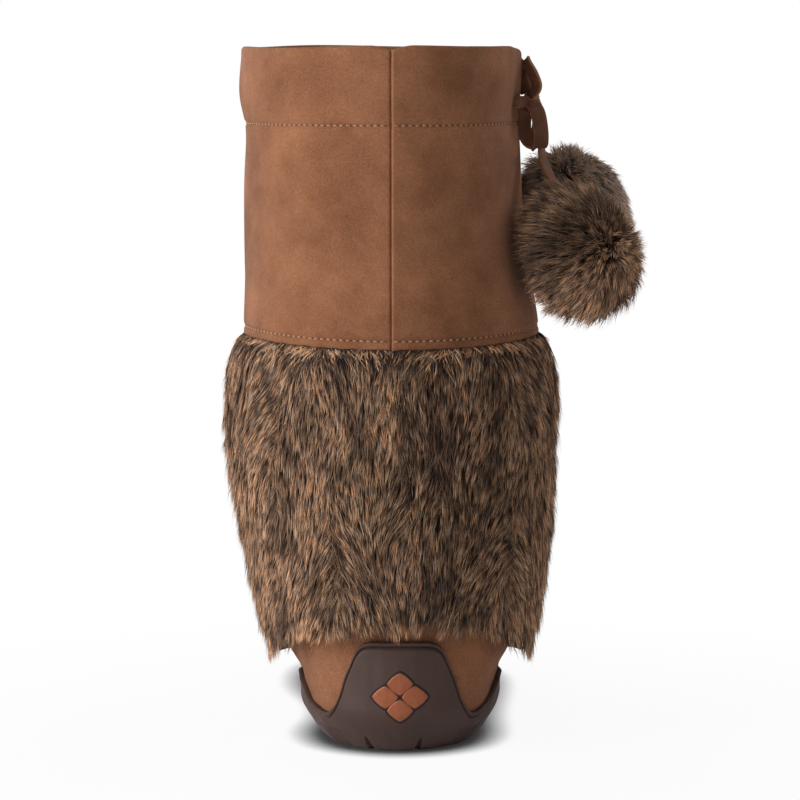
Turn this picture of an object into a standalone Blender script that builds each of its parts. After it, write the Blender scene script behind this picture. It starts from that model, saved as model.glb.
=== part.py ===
"""Mukluk boot: a right boot of suede with a band of fur, a drawstring with two pompoms and a cup sole.

Run it with blender --background --python part.py, or from Blender's text editor.
Metres, +Z up, the toe towards +Y and the outer side of the foot towards +X. The origin lies on the
floor under the middle of the heel's tread.
"""

import math

import bmesh
import bpy
import numpy as np
from mathutils import Matrix, Vector

# Overall sizes
SOLE_LENGTH = 0.268
HEEL_SETBACK = 0.038
BALL_WIDTH = 0.095
HEEL_WIDTH = 0.085
BOOT_HEIGHT = 0.290
INSTEP_HEIGHT = 0.100
SHAFT_WIDTH = 0.120
SHAFT_DEPTH = 0.130
SHAFT_CENTRE = 0.027
SEAM_SHIFT = 0.0035
FIT = 0.0004
CUTTER_REACH = 0.004

# Suede upper
WALL = 0.0028
HEM_HEIGHT = 0.168
HEM_STEP = 0.0018
CASING_HEIGHT = 0.032
CASING_PUFF = 0.0014
CASING_FOLD = 0.0010
SEAM_RIDGE = 0.0004
STITCH_DIP = 0.0006
RIM_BULGE = 0.0022
RIM_BULGE_START = 0.0034
RIM_BULGE_RISE = 0.010
COLLAR_ROUND = 0.0011
HEM_BLEND = 0.006
FILLET_LOW = 0.004
FILLET_HIGH = 0.018

# Cup sole
RUBBER = 0.0032
FLOOR_HEIGHT = 0.007
TOE_SPRING = 0.011
TOE_BREAK = 0.675
TOE_CURL = 1.9
ARCH_RISE = 0.003
SHIELD_HEIGHT = 0.046
RIM_HEIGHT = 0.027
LIP_PROUD = 0.0005
LIP_HEIGHT = 0.0026
LIP_GROOVE = 0.0008
LIP_GROOVE_HEIGHT = 0.0014
LIP_ROUND = 0.0010
EDGE_HEIGHT = 0.0095
TREAD_INSET = 0.009
TREAD_DEPTH = 0.003
TREAD_GROOVE = 0.0034
TREAD_CHEVRON = 0.010
NOTCH_WIDTH = 0.0022
NOTCH_HEIGHT = 0.0055
NOTCH_DEPTH = 0.008
RIB_PITCH = 0.0027
RIB_WIDTH = 0.0011
RIB_DEPTH = 0.0009
RIB_LENGTH = 0.0105
RIB_SLOPE = 1.15

# Inlays of the heel shield
INLAY_WIDTH = 0.0106
INLAY_HEIGHT = 0.0094
INLAY_THICKNESS = 0.0013
INLAY_PROUD = 0.0003
INLAY_MARGIN = 0.0005
INLAY_SPACING = 0.0017
INLAY_CENTRE = 0.0245

# Insole
INSOLE_THICKNESS = 0.005
INSOLE_ROUND = 0.001

# Fur band
FUR_DEPTH = 0.0105
FUR_LOCK = 0.0026
FUR_LOCK_ROWS = 6
FUR_LOCK_TAIL = 0.003
FUR_COLUMNS = 48
FUR_FIT = 0.0007
FUR_HANG = 0.0056
FUR_HANG_FULL = 0.71
FUR_CURL = 0.62

# Drawstring and pompoms
LACE_WIDTH = 0.0064
LACE_THICKNESS = 0.0014
LACE_DROP = 0.023
LACE_HEIGHT = BOOT_HEIGHT - LACE_DROP
LACE_BACK = 0.013
LACE_Y = SHAFT_CENTRE - LACE_BACK
SLOT_WIDTH = 0.0034
SLOT_HEIGHT = 0.0086
SLOT_SPREAD = 0.0120
SLOT_DEPTH = 0.0024
SLOT_RISE = 0.0005
KNOT_SIZE = (0.0070, 0.0092, 0.0066)
KNOT_ROUND = 0.0016
RUN_STAND = 0.0010
RUN_BOW = 0.0012
POMPOM_RADIUS = 0.0245
POMPOM_STRETCH = 1.16
POMPOM_LOCK = 0.085
POMPOM_HOLLOW = 0.4
POMPOM_DROOP = 0.05
POMPOM_LOCK_ROWS = 13
POMPOM_LOCKS_ROUND = 18

# How finely the form is cut into columns, and how much closer they stand at the heel and at both ends.
COLUMNS_A_SIDE = 24
HEEL_CROWDING = 0.10
END_CROWDING = 0.42
FOOT_POINTS = 121
FINE_ANGLES = np.linspace(-math.pi, math.pi, 721)[:-1]
SURVEY_LEVELS = 116

# Where a feature fades out, from the first to the second height, as shares of the instep's height.
TOE_SPRING_FADE = (0.3, 0.7)
RIM_BULGE_FADE = (0.5, 1.1)
FOOT_FADE = (0.95, 1.40)
# Where round the leg the fillet is full, as a share of the half turn from the back.
FILLET_TURN = 0.4

# The drawstring's route, as points chosen by hand: X and Z across and up from the knot's middle, Y along
# the foot from it. across is the direction of the flat lace's width at the run's start and its end.
LACE_RUNS = {
    "drawstring_loop_up": {
        "across": ((0.30, 0.95, 0.0), (0.30, 0.95, 0.0)),
        "route": [
            (-0.0010, 0.000, 0.0048),
            (-0.0012, 0.001, 0.0100),
            (-0.0010, 0.002, 0.0158),
            (-0.0004, 0.002, 0.0194),
            (0.0016, 0.001, 0.0165),
            (0.0040, 0.000, 0.0100),
            (0.0034, 0.000, 0.0062),
            (0.0018, 0.000, 0.0044),
        ],
    },
    "drawstring_loop_down": {
        "across": ((0.42, -0.90, 0.10), (0.42, -0.90, 0.10)),
        "route": [
            (0.0022, -0.001, -0.0044),
            (0.0050, -0.002, -0.0085),
            (0.0068, -0.003, -0.0140),
            (0.0060, -0.003, -0.0178),
            (0.0032, -0.002, -0.0172),
            (0.0006, -0.001, -0.0118),
            (-0.0012, 0.000, -0.0070),
            (-0.0014, 0.000, -0.0044),
        ],
    },
    "drawstring_end_low": {
        "across": ((-0.20, 0.20, 1.0), (0.65, 0.75, 0.0)),
        "route": [
            (0.0044, 0.0024, -0.0002),
            (0.0066, 0.0046, -0.0022),
            (0.0068, 0.0056, -0.0085),
            (0.0060, 0.0044, -0.0180),
            (0.0076, -0.0012, -0.0265),
            (0.0130, -0.0095, -0.0322),
            (0.0192, -0.0156, -0.0350),
        ],
    },
    "drawstring_end_high": {
        "across": ((0.0, 0.15, 1.0), (0.65, 0.51, 0.55)),
        "route": [
            (0.0018, 0.0062, 0.0006),
            (0.0026, 0.0112, -0.0010),
            (0.0026, 0.0165, -0.0052),
            (0.0026, 0.0220, -0.0108),
            (0.0030, 0.0268, -0.0158),
            (0.0034, 0.0304, -0.0195),
        ],
    },
}

# Each pompom hangs from the last point of its lace end: hang is the way from there to its middle, gap
# the space that it leaves, and turn its turn about its own axis.
POMPOMS = {
    "pompom_low": {
        "lace": "drawstring_end_low",
        "hang": (0.09, -0.09, -0.992),
        "gap": 0.00095,
        "turn": 0.2,
    },
    "pompom_high": {
        "lace": "drawstring_end_high",
        "hang": (0.62, 0.12, -0.775),
        "gap": 0.0013,
        "turn": 0.9,
    },
}


def table(columns, rows):
    """A short table with named columns, as a dictionary of arrays."""
    return dict(zip(columns.split(), np.array(rows, float).T))


# Plan of the sole from heel (0) to toe (1). heel and ball are how full each half of the plan is against
# an ellipse, as shares of the heel's and the ball's half width, and swing is the bend of the last towards
# the big toe, as a share of the ball's width.
PLAN = table(
    "along heel ball_inner ball_outer swing",
    [
        (0.00, 1.62, 0.00, 0.00, 0.000),
        (0.06, 1.58, 0.00, 0.00, 0.000),
        (0.12, 1.42, 0.00, 0.00, 0.000),
        (0.19, 1.25, 0.02, 0.02, 0.000),
        (0.32, 0.72, 0.17, 0.28, 0.000),
        (0.46, 0.20, 0.62, 0.76, 0.004),
        (0.60, 0.00, 0.97, 0.99, 0.010),
        (0.70, 0.00, 1.08, 1.09, 0.016),
        (0.80, 0.00, 1.18, 1.18, 0.028),
        (0.90, 0.00, 1.33, 1.28, 0.045),
        (1.00, 0.00, 1.50, 1.40, 0.060),
    ],
)

# The foot's form. height is a share of the instep's height, reach is how far the form runs from heel to
# toe at that height, and girth is its share of the plan's width.
FOOT = table(
    "height reach girth",
    [
        (0.00, 1.000, 1.000),
        (0.30, 1.000, 1.000),
        (0.35, 0.990, 1.000),
        (0.40, 0.967, 0.993),
        (0.45, 0.932, 0.978),
        (0.50, 0.883, 0.945),
        (0.56, 0.822, 0.890),
        (0.62, 0.757, 0.820),
        (0.70, 0.680, 0.720),
        (0.80, 0.600, 0.600),
        (0.90, 0.538, 0.500),
        (1.00, 0.500, 0.400),
        (1.20, 0.460, 0.300),
    ],
)

# The shaft's form. height is a share of the boot's height, back and front are shares of half the shaft's
# depth, inner and outer of half its width, and seam is how far the back seam has moved to its place.
SHAFT = table(
    "height back front inner outer seam",
    [
        (0.000, 0.80, 0.20, 0.53, 0.52, 0.0),
        (0.069, 0.87, 0.38, 0.560, 0.55, 0.0),
        (0.097, 0.92, 0.45, 0.645, 0.635, 0.0),
        (0.131, 0.94, 0.58, 0.730, 0.710, 0.1),
        (0.172, 0.945, 0.74, 0.790, 0.775, 0.2),
        (0.241, 0.94, 0.90, 0.855, 0.860, 0.4),
        (0.345, 0.94, 0.985, 0.935, 0.955, 0.7),
        (0.448, 0.96, 1.00, 0.985, 0.995, 0.9),
        (0.579, 0.98, 1.008, 1.012, 1.015, 1.0),
        (0.660, 0.99, 1.008, 1.020, 0.945, 1.0),
        (0.760, 1.00, 1.008, 1.025, 0.890, 1.0),
        (0.850, 1.00, 1.005, 1.025, 0.875, 1.0),
        (0.890, 1.00, 1.000, 1.030, 0.860, 1.0),
        (1.000, 1.00, 1.000, 1.035, 0.895, 1.0),
    ],
)

# Height of the cup sole's rim, from the back (0) round each side to the toe (1). shield is a share of the
# heel shield's height and side a share of the rim's height at the side of the heel.
RIM = table(
    "round shield side",
    [
        (0.000, 1.000, 0.00),
        (0.040, 0.995, 0.00),
        (0.055, 0.940, 0.00),
        (0.068, 0.740, 0.00),
        (0.080, 0.430, 0.06),
        (0.092, 0.180, 0.32),
        (0.106, 0.040, 0.50),
        (0.122, 0.000, 0.575),
        (0.150, 0.000, 0.700),
        (0.190, 0.000, 0.920),
        (0.235, 0.000, 1.000),
        (0.350, 0.000, 0.900),
        (0.480, 0.000, 0.830),
        (0.640, 0.000, 0.850),
        (0.820, 0.000, 0.930),
        (0.920, 0.000, 1.010),
        (1.000, 0.000, 1.060),
    ],
)

# Outer face of the cup sole. rise is the height as a share of the height of the rounded edge, inset the
# distance inside the wall as a share of the tread's inset.
EDGE = table(
    "rise inset",
    [
        (0.00, 1.00),
        (0.10, 0.68),
        (0.32, 0.38),
        (0.62, 0.15),
        (1.00, 0.02),
    ],
)

# Underside of the sole, lift as a share of the arch's rise.
ARCH = table(
    "along lift",
    [(0.00, 0.0), (0.34, 0.0), (0.40, 0.8), (0.45, 1.0), (0.51, 0.8), (0.57, 0.0), (1.00, 0.0)],
)

# Tread grooves across the sole, as shares of its length.
TREAD = (0.190, 0.260, 0.585, 0.640, 0.695, 0.750, 0.805, 0.860)
# Longitudinal notches in the back edge, as shares of the heel's width from the middle.
NOTCHES = (-0.18, 0.11)
# Groups of side ribs: round is where a group's middle lies between back (0) and toe (1).
RIB_GROUPS = ((0.118, 6), (0.94, 4))

# Each lock of the fur from its root (0) to its tip (1). stand is how far a ridge stands out and dip how
# far the fur between ridges sinks, as shares of the lock's depth, and tail how far a ridge hangs down.
FUR_LOCK_SHAPE = table(
    "along stand dip tail",
    [(0.00, 0.00, 0.00, 0.0), (0.55, 0.55, 0.00, 0.3), (0.95, 1.00, 0.25, 1.0)],
)
FUR_LOCK_START = 0.035
# Heights of the rings inside the fur, from its lower edge (1) to the hem seam (0).
FUR_LINING_RINGS = (0.99, 0.89, 0.78, 0.66, 0.52, 0.36, 0.18)

# Lower edge of the fur, by the turn about the leg from the back (0) to the front (1), as a share of the
# hem's height.
FUR_HEM = table(
    "turn height",
    [
        (0.00, 0.305),
        (0.14, 0.298),
        (0.25, 0.270),
        (0.36, 0.236),
        (0.50, 0.216),
        (0.62, 0.232),
        (0.72, 0.290),
        (0.81, 0.385),
        (0.90, 0.490),
        (1.00, 0.545),
    ],
)

# How deep the fur stands, from the hem seam (0) to its lower edge (1), as a share of its depth.
FUR_BODY = table(
    "down inner outer",
    [
        (0.00, 0.13, 0.13),
        (0.04, 0.42, 0.36),
        (0.10, 0.74, 0.62),
        (0.20, 0.96, 0.92),
        (0.33, 1.12, 0.86),
        (0.50, 1.10, 0.92),
        (0.70, 1.06, 1.08),
        (0.88, 1.08, 1.20),
        (1.00, 0.98, 1.16),
    ],
)


def curve(source, key, name, x):
    """A smooth reading of a table's column that never swings past the rows beside it."""
    xs, ys = source[key], source[name]
    slope = np.diff(ys) / np.diff(xs)
    tangent = np.concatenate([slope[:1], np.zeros(len(xs) - 2), slope[-1:]])
    same = slope[:-1] * slope[1:] > 0
    tangent[1:-1][same] = 2 * slope[:-1][same] * slope[1:][same] / (slope[:-1][same] + slope[1:][same])
    x = np.clip(x, xs[0], xs[-1])
    i = np.clip(np.searchsorted(xs, x, side="right") - 1, 0, len(xs) - 2)
    width = xs[i + 1] - xs[i]
    t = (x - xs[i]) / width
    return (
        ys[i] * (1 + 2 * t) * (1 - t) ** 2
        + width * tangent[i] * t * (1 - t) ** 2
        + ys[i + 1] * t * t * (3 - 2 * t)
        + width * tangent[i + 1] * t * t * (t - 1)
    )


def smooth(x):
    x = np.clip(x, 0.0, 1.0)
    return x * x * (3 - 2 * x)


def fade(height, span):
    """How much of a feature is left at a height, by its two shares of the instep's height."""
    low, high = span
    return 1 - smooth((height / INSTEP_HEIGHT - low) / (high - low))


def seam_x(height):
    """Where the back seam stands across the boot at a height."""
    return -SEAM_SHIFT * curve(SHAFT, "height", "seam", height / BOOT_HEIGHT)


def foot_outline(height):
    """Closed plan of the foot's form at a height, as points in X and Y."""
    share = height / INSTEP_HEIGHT
    rim = FIT + RUBBER
    back = rim - HEEL_SETBACK
    length = (SOLE_LENGTH - 2 * rim) * curve(FOOT, "height", "reach", share)
    girth = curve(FOOT, "height", "girth", share)
    theta = np.linspace(0, math.pi, FOOT_POINTS)
    along = (1 - np.cos(theta)) / 2
    sides = []
    for side, ball in ((1, "ball_outer"), (-1, "ball_inner")):
        half = (HEEL_WIDTH / 2 - rim) * curve(PLAN, "along", "heel", along)
        half = half + (BALL_WIDTH / 2 - rim) * curve(PLAN, "along", ball, along)
        swing = BALL_WIDTH * curve(PLAN, "along", "swing", along)
        x = side * girth * half * np.sin(theta) - swing
        sides.append(np.column_stack([x, back + length * along]))
    return np.concatenate([sides[0], sides[1][-2:0:-1]])


def shaft_outline(height):
    """Closed plan of the shaft's form at a height."""
    share = height / BOOT_HEIGHT
    angle = FINE_ANGLES
    depth = np.where(
        np.cos(angle) > 0,
        curve(SHAFT, "height", "back", share),
        curve(SHAFT, "height", "front", share),
    )
    width = np.where(
        np.sin(angle) > 0,
        curve(SHAFT, "height", "outer", share),
        curve(SHAFT, "height", "inner", share),
    )
    x = seam_x(height) + (SHAFT_WIDTH / 2) * width * np.sin(angle)
    return np.column_stack([x, SHAFT_CENTRE - (SHAFT_DEPTH / 2) * depth * np.cos(angle)])


def radii(points, axis):
    """Distance of a closed outline from the axis at each fine angle, measured from the back."""
    away = points - axis
    angle = np.arctan2(away[:, 0], -away[:, 1])
    order = np.argsort(angle)
    distance = np.hypot(away[:, 0], away[:, 1])
    return np.interp(FINE_ANGLES, angle[order], distance[order], period=2 * math.pi)


def form_radii(height):
    """The last and the leg joined with a soft fillet: distances from the leg's axis."""
    axis = np.array([seam_x(height), SHAFT_CENTRE])
    foot = radii(foot_outline(height), axis) * fade(height, FOOT_FADE)
    shaft = radii(shaft_outline(height), axis)
    soften = smooth((height - RIM_HEIGHT) / RIM_HEIGHT)
    soften = soften * smooth(np.abs(FINE_ANGLES) / (FILLET_TURN * math.pi))
    fillet = FILLET_LOW + (FILLET_HIGH - FILLET_LOW) * soften
    near = np.clip(fillet - np.abs(foot - shaft), 0, None)
    return np.maximum(foot, shaft) + near * near / (4 * fillet)


def polar_points(height, angles, distance):
    return np.column_stack(
        [seam_x(height) + distance * np.sin(angles), SHAFT_CENTRE - distance * np.cos(angles)]
    )


def column_shares():
    """Shares of the way round one side at which the columns stand, closer together at heel and toe."""
    u = np.linspace(0, 1, COLUMNS_A_SIDE + 1)
    heel = HEEL_CROWDING * np.sin(math.pi * u) / math.pi
    ends = END_CROWDING * np.sin(2 * math.pi * u) / (2 * math.pi)
    return u - heel - ends


def toe_lift(y, height):
    """How far toe spring lifts a point of the foot. It fades out towards the instep."""
    along = (y + HEEL_SETBACK) / SOLE_LENGTH
    rise = np.clip((along - TOE_BREAK) / (1 - TOE_BREAK), 0, None)
    return TOE_SPRING * rise**TOE_CURL * fade(height, TOE_SPRING_FADE)


def lifted(plan, height):
    """A plan outline at its height, with the toe spring."""
    return np.column_stack([plan, height + toe_lift(plan[:, 1], height)])


def ring(height):
    """One closed ring of the boot's form at a height: back, outer side, toe, inner side. Its columns
    stand at fixed shares of the way round."""
    plan = polar_points(height, FINE_ANGLES, form_radii(height))
    half = len(FINE_ANGLES) // 2
    outer = np.concatenate([plan[half:], plan[:1]])
    inner = plan[: half + 1][::-1]
    sides = []
    for points in (outer, inner):
        step = np.hypot(*np.diff(points, axis=0).T)
        length = np.concatenate([[0], np.cumsum(step)])
        at = column_shares() * length[-1]
        sides.append(np.column_stack([np.interp(at, length, points[:, i]) for i in (0, 1)]))
    return lifted(np.concatenate([sides[0], sides[1][-2:0:-1]]), height)


def fur_angles():
    """Directions of the fur's columns from the leg's axis, round from the back."""
    return np.linspace(0, 2 * math.pi, FUR_COLUMNS + 1)[:-1]


def fur_ring(height):
    """One closed ring of the boot's form whose columns stand at equal turns about the leg."""
    angles = fur_angles()
    distance = np.interp(angles, FINE_ANGLES, form_radii(height), period=2 * math.pi)
    return lifted(polar_points(height, angles, distance), height)


def rounds():
    """Each column's place round the boot, from back (0) to toe (1)."""
    share = column_shares()
    return np.concatenate([share, share[-2:0:-1]])


def rim_heights():
    """Height of the cup sole's rim at each column."""
    share = rounds()
    shield = SHIELD_HEIGHT * curve(RIM, "round", "shield", share)
    return shield + RIM_HEIGHT * curve(RIM, "round", "side", share)


def survey(a_ring):
    """The boot's form at close levels: points, outward normals, and outward directions in plan."""
    points = np.array([a_ring(h) for h in np.linspace(0.0, BOOT_HEIGHT, SURVEY_LEVELS + 1)])
    around = np.roll(points, -1, axis=1) - np.roll(points, 1, axis=1)
    normals = np.cross(around, np.gradient(points, axis=0))
    sides = np.cross(around * (1, 1, 0), (0, 0, 1))
    return {
        "points": points,
        "normals": normals / np.linalg.norm(normals, axis=2)[:, :, None],
        "sides": sides / np.linalg.norm(sides, axis=2)[:, :, None],
    }


def on_form(form, height, outset=0.0, along="normals"):
    """A closed ring on the boot's form, at heights that may differ by column, moved outwards."""
    column = np.arange(form["points"].shape[1])
    level = np.clip(np.broadcast_to(height, column.shape) / BOOT_HEIGHT, 0, 1) * SURVEY_LEVELS
    low = np.minimum(level.astype(int), SURVEY_LEVELS - 1)
    share = (level - low)[:, None]
    base, out = [
        form[name][low, column] * (1 - share) + form[name][low + 1, column] * share
        for name in ("points", along)
    ]
    out = out / np.linalg.norm(out, axis=1)[:, None]
    return base + out * np.broadcast_to(outset, column.shape)[:, None]


def rim_distance(form, points):
    """How far each point of a ring lies from the cup sole's rim."""
    line = on_form(form, rim_heights())
    ahead = np.roll(line, -1, axis=0) - line
    fine = np.concatenate([line + ahead * share for share in (0, 0.25, 0.5, 0.75)])
    return np.array([np.linalg.norm(fine - p, axis=1).min() for p in points])


def material(name, colour, roughness, metallic=0.0):
    made = bpy.data.materials.new(name)
    made.use_nodes = True
    shader = made.node_tree.nodes["Principled BSDF"]
    shader.inputs["Base Color"].default_value = (*colour, 1)
    shader.inputs["Roughness"].default_value = roughness
    shader.inputs["Metallic"].default_value = metallic
    made.diffuse_color = (*colour, 1)
    return made


def collection(name):
    made = bpy.data.collections.new(name)
    bpy.context.scene.collection.children.link(made)
    return made


def put(bm, name, finish, where):
    """The bmesh as a named object in a collection."""
    bmesh.ops.recalc_face_normals(bm, faces=bm.faces)
    mesh = bpy.data.meshes.new(name)
    bm.to_mesh(mesh)
    bm.free()
    if finish:
        mesh.materials.append(finish)
    made = bpy.data.objects.new(name, mesh)
    where.objects.link(made)
    return made


def loft(rings, wrap=False, capped=False):
    """A bmesh through closed rings of equal counts. It joins the last ring to the first, or caps both
    ends with strips that run from side to side."""
    bm = bmesh.new()
    rows = [[bm.verts.new(p) for p in points] for points in rings]
    count = len(rows[0])
    pairs = list(zip(rows, rows[1:] + rows[:1])) if wrap else list(zip(rows, rows[1:]))
    for a, b in pairs:
        for i in range(count):
            j = (i + 1) % count
            bm.faces.new((a[i], a[j], b[j], b[i]))
    if capped:
        for row in (rows[0], rows[-1]):
            for i in range(count // 2):
                corners = (row[i], row[i + 1], row[-i - 1], row[-i % count])
                bm.faces.new(list(dict.fromkeys(corners)))
    return bm


def shade(made, angle=35):
    made.data.shade_smooth()
    made.data.set_sharp_from_angle(angle=math.radians(angle))


def boolean(made, cutter, operation="DIFFERENCE"):
    cut = made.modifiers.new(cutter.name, "BOOLEAN")
    cut.operation = operation
    cut.object = cutter


def as_cutter(made):
    made.hide_render = True
    made.display_type = "WIRE"
    return made


def upper_rows():
    """Heights of the upper's rings with how far each stands out from the form: up its outer face, over
    the collar and down its inner face."""
    stitch = BOOT_HEIGHT - CASING_HEIGHT
    panel = stitch - HEM_HEIGHT
    foot = [0.16, 0.235, 0.275, 0.31, 0.36, 0.42, 0.48, 0.54, 0.61, 0.69, 0.78, 0.88]
    foot = [INSTEP_HEIGHT * s for s in foot]
    leg = [INSTEP_HEIGHT + (HEM_HEIGHT - INSTEP_HEIGHT) * s for s in (0.0, 0.32, 0.66)]
    outer = [(h, 0.0) for h in [FLOOR_HEIGHT + FIT] + foot + leg]
    outer += [(HEM_HEIGHT - FIT, 0.0), (HEM_HEIGHT, HEM_STEP)]
    outer += [(HEM_HEIGHT + panel * s, HEM_STEP) for s in (0.12, 0.40, 0.70, 0.92)]
    outer += [(stitch, HEM_STEP - STITCH_DIP)]
    puffs = ((0.2, 0.7), (0.52, 1.0), (0.84, 0.7))
    outer += [(stitch + CASING_HEIGHT * s, HEM_STEP + CASING_PUFF * puff) for s, puff in puffs]
    outer += [(BOOT_HEIGHT - COLLAR_ROUND, HEM_STEP), (BOOT_HEIGHT, HEM_STEP - COLLAR_ROUND)]
    lining = HEM_STEP - WALL
    folded = lining - CASING_FOLD
    inner = [
        (BOOT_HEIGHT, folded + COLLAR_ROUND),
        (BOOT_HEIGHT - COLLAR_ROUND, folded),
        (stitch, folded),
        (stitch - 2 * CASING_FOLD, lining),
        (HEM_HEIGHT + panel * 0.4, lining),
        (HEM_HEIGHT, lining),
        (HEM_HEIGHT - HEM_BLEND, -WALL),
    ]
    inner += [(INSTEP_HEIGHT * s, -WALL) for s in (1.3, 1.0, 0.86, 0.74, 0.64, 0.55, 0.46, 0.37, 0.24)]
    inner += [(FLOOR_HEIGHT + FIT, -WALL)]
    return outer, inner


def build_upper(form, where, finish):
    """One hollow wall from the cup's floor to the collar. The leg panel's hem, its back seam and the
    casing for the drawstring are steps in it."""
    outer, inner = upper_rows()
    rings = []
    for height, relief in outer:
        bare = on_form(form, height)
        bulge = RIM_BULGE * smooth((rim_distance(form, bare) - RIM_BULGE_START) / RIM_BULGE_RISE)
        bulge *= (height > rim_heights()) * fade(height, RIM_BULGE_FADE)
        out = relief + bulge
        out[0] += SEAM_RIDGE * (height >= HEM_HEIGHT)
        rings.append(on_form(form, height, out))
    rings += [on_form(form, height, relief) for height, relief in inner]
    made = put(loft(rings, wrap=True), "upper", finish, where)
    shade(made, 40)
    return made


def sole_bottom(y):
    """Height of the tread's face along the sole, with the arch and the toe spring."""
    along = (y + HEEL_SETBACK) / SOLE_LENGTH
    return ARCH_RISE * curve(ARCH, "along", "lift", along) + toe_lift(y, 0)


def sole_ring(form, height, outset, arched=0.0):
    """A ring of the sole, set out from the boot's form in plan. arched is how much of the arch it has."""
    made = on_form(form, height, outset, "sides")
    along = (made[:, 1] + HEEL_SETBACK) / SOLE_LENGTH
    made[:, 2] += arched * ARCH_RISE * curve(ARCH, "along", "lift", along)
    return made


def build_outsole(form, where, tools, finish):
    """The moulded cup sole: tread, rounded edge, wall, rim lip, cup wall and cup floor."""
    rim = rim_heights()
    wall = FIT + RUBBER
    groove = rim - LIP_HEIGHT
    rings = [
        sole_ring(form, EDGE_HEIGHT * rise, wall - TREAD_INSET * inset, 1 - rise)
        for rise, inset in zip(EDGE["rise"], EDGE["inset"])
    ]
    rings += [
        sole_ring(form, (EDGE_HEIGHT + groove) / 2, wall),
        sole_ring(form, groove - LIP_GROOVE_HEIGHT, wall),
        sole_ring(form, groove - 0.35 * LIP_GROOVE_HEIGHT, wall - LIP_GROOVE),
        sole_ring(form, groove, wall - LIP_GROOVE),
        sole_ring(form, groove + 0.6 * LIP_ROUND, wall + 0.8 * LIP_PROUD),
        sole_ring(form, rim - LIP_ROUND, wall + LIP_PROUD),
        sole_ring(form, rim - 0.1 * LIP_ROUND, wall - LIP_ROUND),
        sole_ring(form, rim, FIT + 0.8 * LIP_ROUND),
    ]
    cup = rim - 0.8 * LIP_ROUND - FLOOR_HEIGHT
    rings += [
        sole_ring(form, FLOOR_HEIGHT + cup * share, FIT)
        for share in (1.0, 0.78, 0.52, 0.26, 0.0)
    ]
    made = put(loft(rings, capped=True), "outsole", finish, where)
    boolean(made, rib_cutter(form, tools))
    boolean(made, tread_cutter(tools))
    for number, (plate, pocket) in enumerate(inlay_places(form), 1):
        boolean(made, as_cutter(put(pocket, f"inlay_pocket_{number}", None, tools)))
        plate.free()
    shade(made)
    return made


def prism(bm, outline, low, high):
    """A prism over a flat outline, between two heights."""
    face = bm.faces.new([bm.verts.new((x, y, low)) for x, y in outline])
    raised = bmesh.ops.extrude_face_region(bm, geom=[face])
    top = [v for v in raised["geom"] if isinstance(v, bmesh.types.BMVert)]
    bmesh.ops.translate(bm, vec=(0, 0, high - low), verts=top)


def tread_cutter(where):
    """Chevron grooves across the tread and the notches in the back edge."""
    bm = bmesh.new()
    reach = BALL_WIDTH
    for share in TREAD:
        y = share * SOLE_LENGTH - HEEL_SETBACK
        half = TREAD_GROOVE / 2
        bend = TREAD_CHEVRON * (1 if share > 0.5 else -1)
        outline = [
            (-reach, y - half - bend),
            (0, y - half + bend * 0.4),
            (reach, y - half - bend),
            (reach, y + half - bend),
            (0, y + half + bend * 0.4),
            (-reach, y + half - bend),
        ]
        prism(bm, outline, -CUTTER_REACH, float(sole_bottom(y)) + TREAD_DEPTH)
    back = -HEEL_SETBACK
    for share in NOTCHES:
        x = share * HEEL_WIDTH
        half = NOTCH_WIDTH / 2
        near, far = back - CUTTER_REACH, back + NOTCH_DEPTH
        outline = [(x - half, near), (x + half, near), (x + half, far), (x - half, far)]
        prism(bm, outline, -CUTTER_REACH, NOTCH_HEIGHT)
    return as_cutter(put(bm, "tread_cutter", None, where))


def rib_cutter(form, where):
    """Slanted grooves in the rounded lower edge, which leave ribs between them."""
    bm = bmesh.new()
    level = 0.5 * EDGE_HEIGHT
    inset = TREAD_INSET * float(curve(EDGE, "rise", "inset", 0.5))
    line = sole_ring(form, level, FIT + RUBBER - inset)
    out = line - sole_ring(form, level, 0.0)
    out /= np.linalg.norm(out, axis=1)[:, None]
    count = COLUMNS_A_SIDE
    for side in (0, 1):
        index = np.arange(count + 1) if side == 0 else -np.arange(count + 1) % (2 * count)
        path, normal = line[index], out[index]
        length = np.concatenate([[0], np.cumsum(np.linalg.norm(np.diff(path, axis=0), axis=1))])
        for middle, ribs in RIB_GROUPS:
            for n in range(ribs):
                at = middle * length[-1] + (n - (ribs - 1) / 2) * RIB_PITCH
                place = Vector([float(np.interp(at, length, path[:, a])) for a in range(3)])
                away = Vector([float(np.interp(at, length, normal[:, a])) for a in range(3)])
                face = (away + Vector((0, 0, -RIB_SLOPE))).normalized()
                along = Vector((0, 0, 1)).cross(away).normalized()
                up = face.cross(along)
                turn = Matrix((along, up, face)).transposed().to_4x4()
                size = Matrix.Diagonal((RIB_WIDTH, RIB_LENGTH, RIB_DEPTH + CUTTER_REACH, 1))
                shift = Matrix.Translation(place + face * ((CUTTER_REACH - RIB_DEPTH) / 2))
                bmesh.ops.create_cube(bm, size=1, matrix=shift @ turn @ size)
    return as_cutter(put(bm, "rib_cutter", None, where))


def diamond(width, height, depth):
    """A four-sided plate, standing on a corner, its face towards -Y."""
    bm = bmesh.new()
    bmesh.ops.create_cone(
        bm, segments=4, cap_ends=True, cap_tris=False, radius1=0.5, radius2=0.5, depth=1
    )
    size = Matrix.Diagonal((width, height, depth, 1))
    turn = Matrix.Rotation(math.radians(90), 4, "X")
    bmesh.ops.transform(bm, matrix=turn @ size, verts=bm.verts)
    return bm


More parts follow.
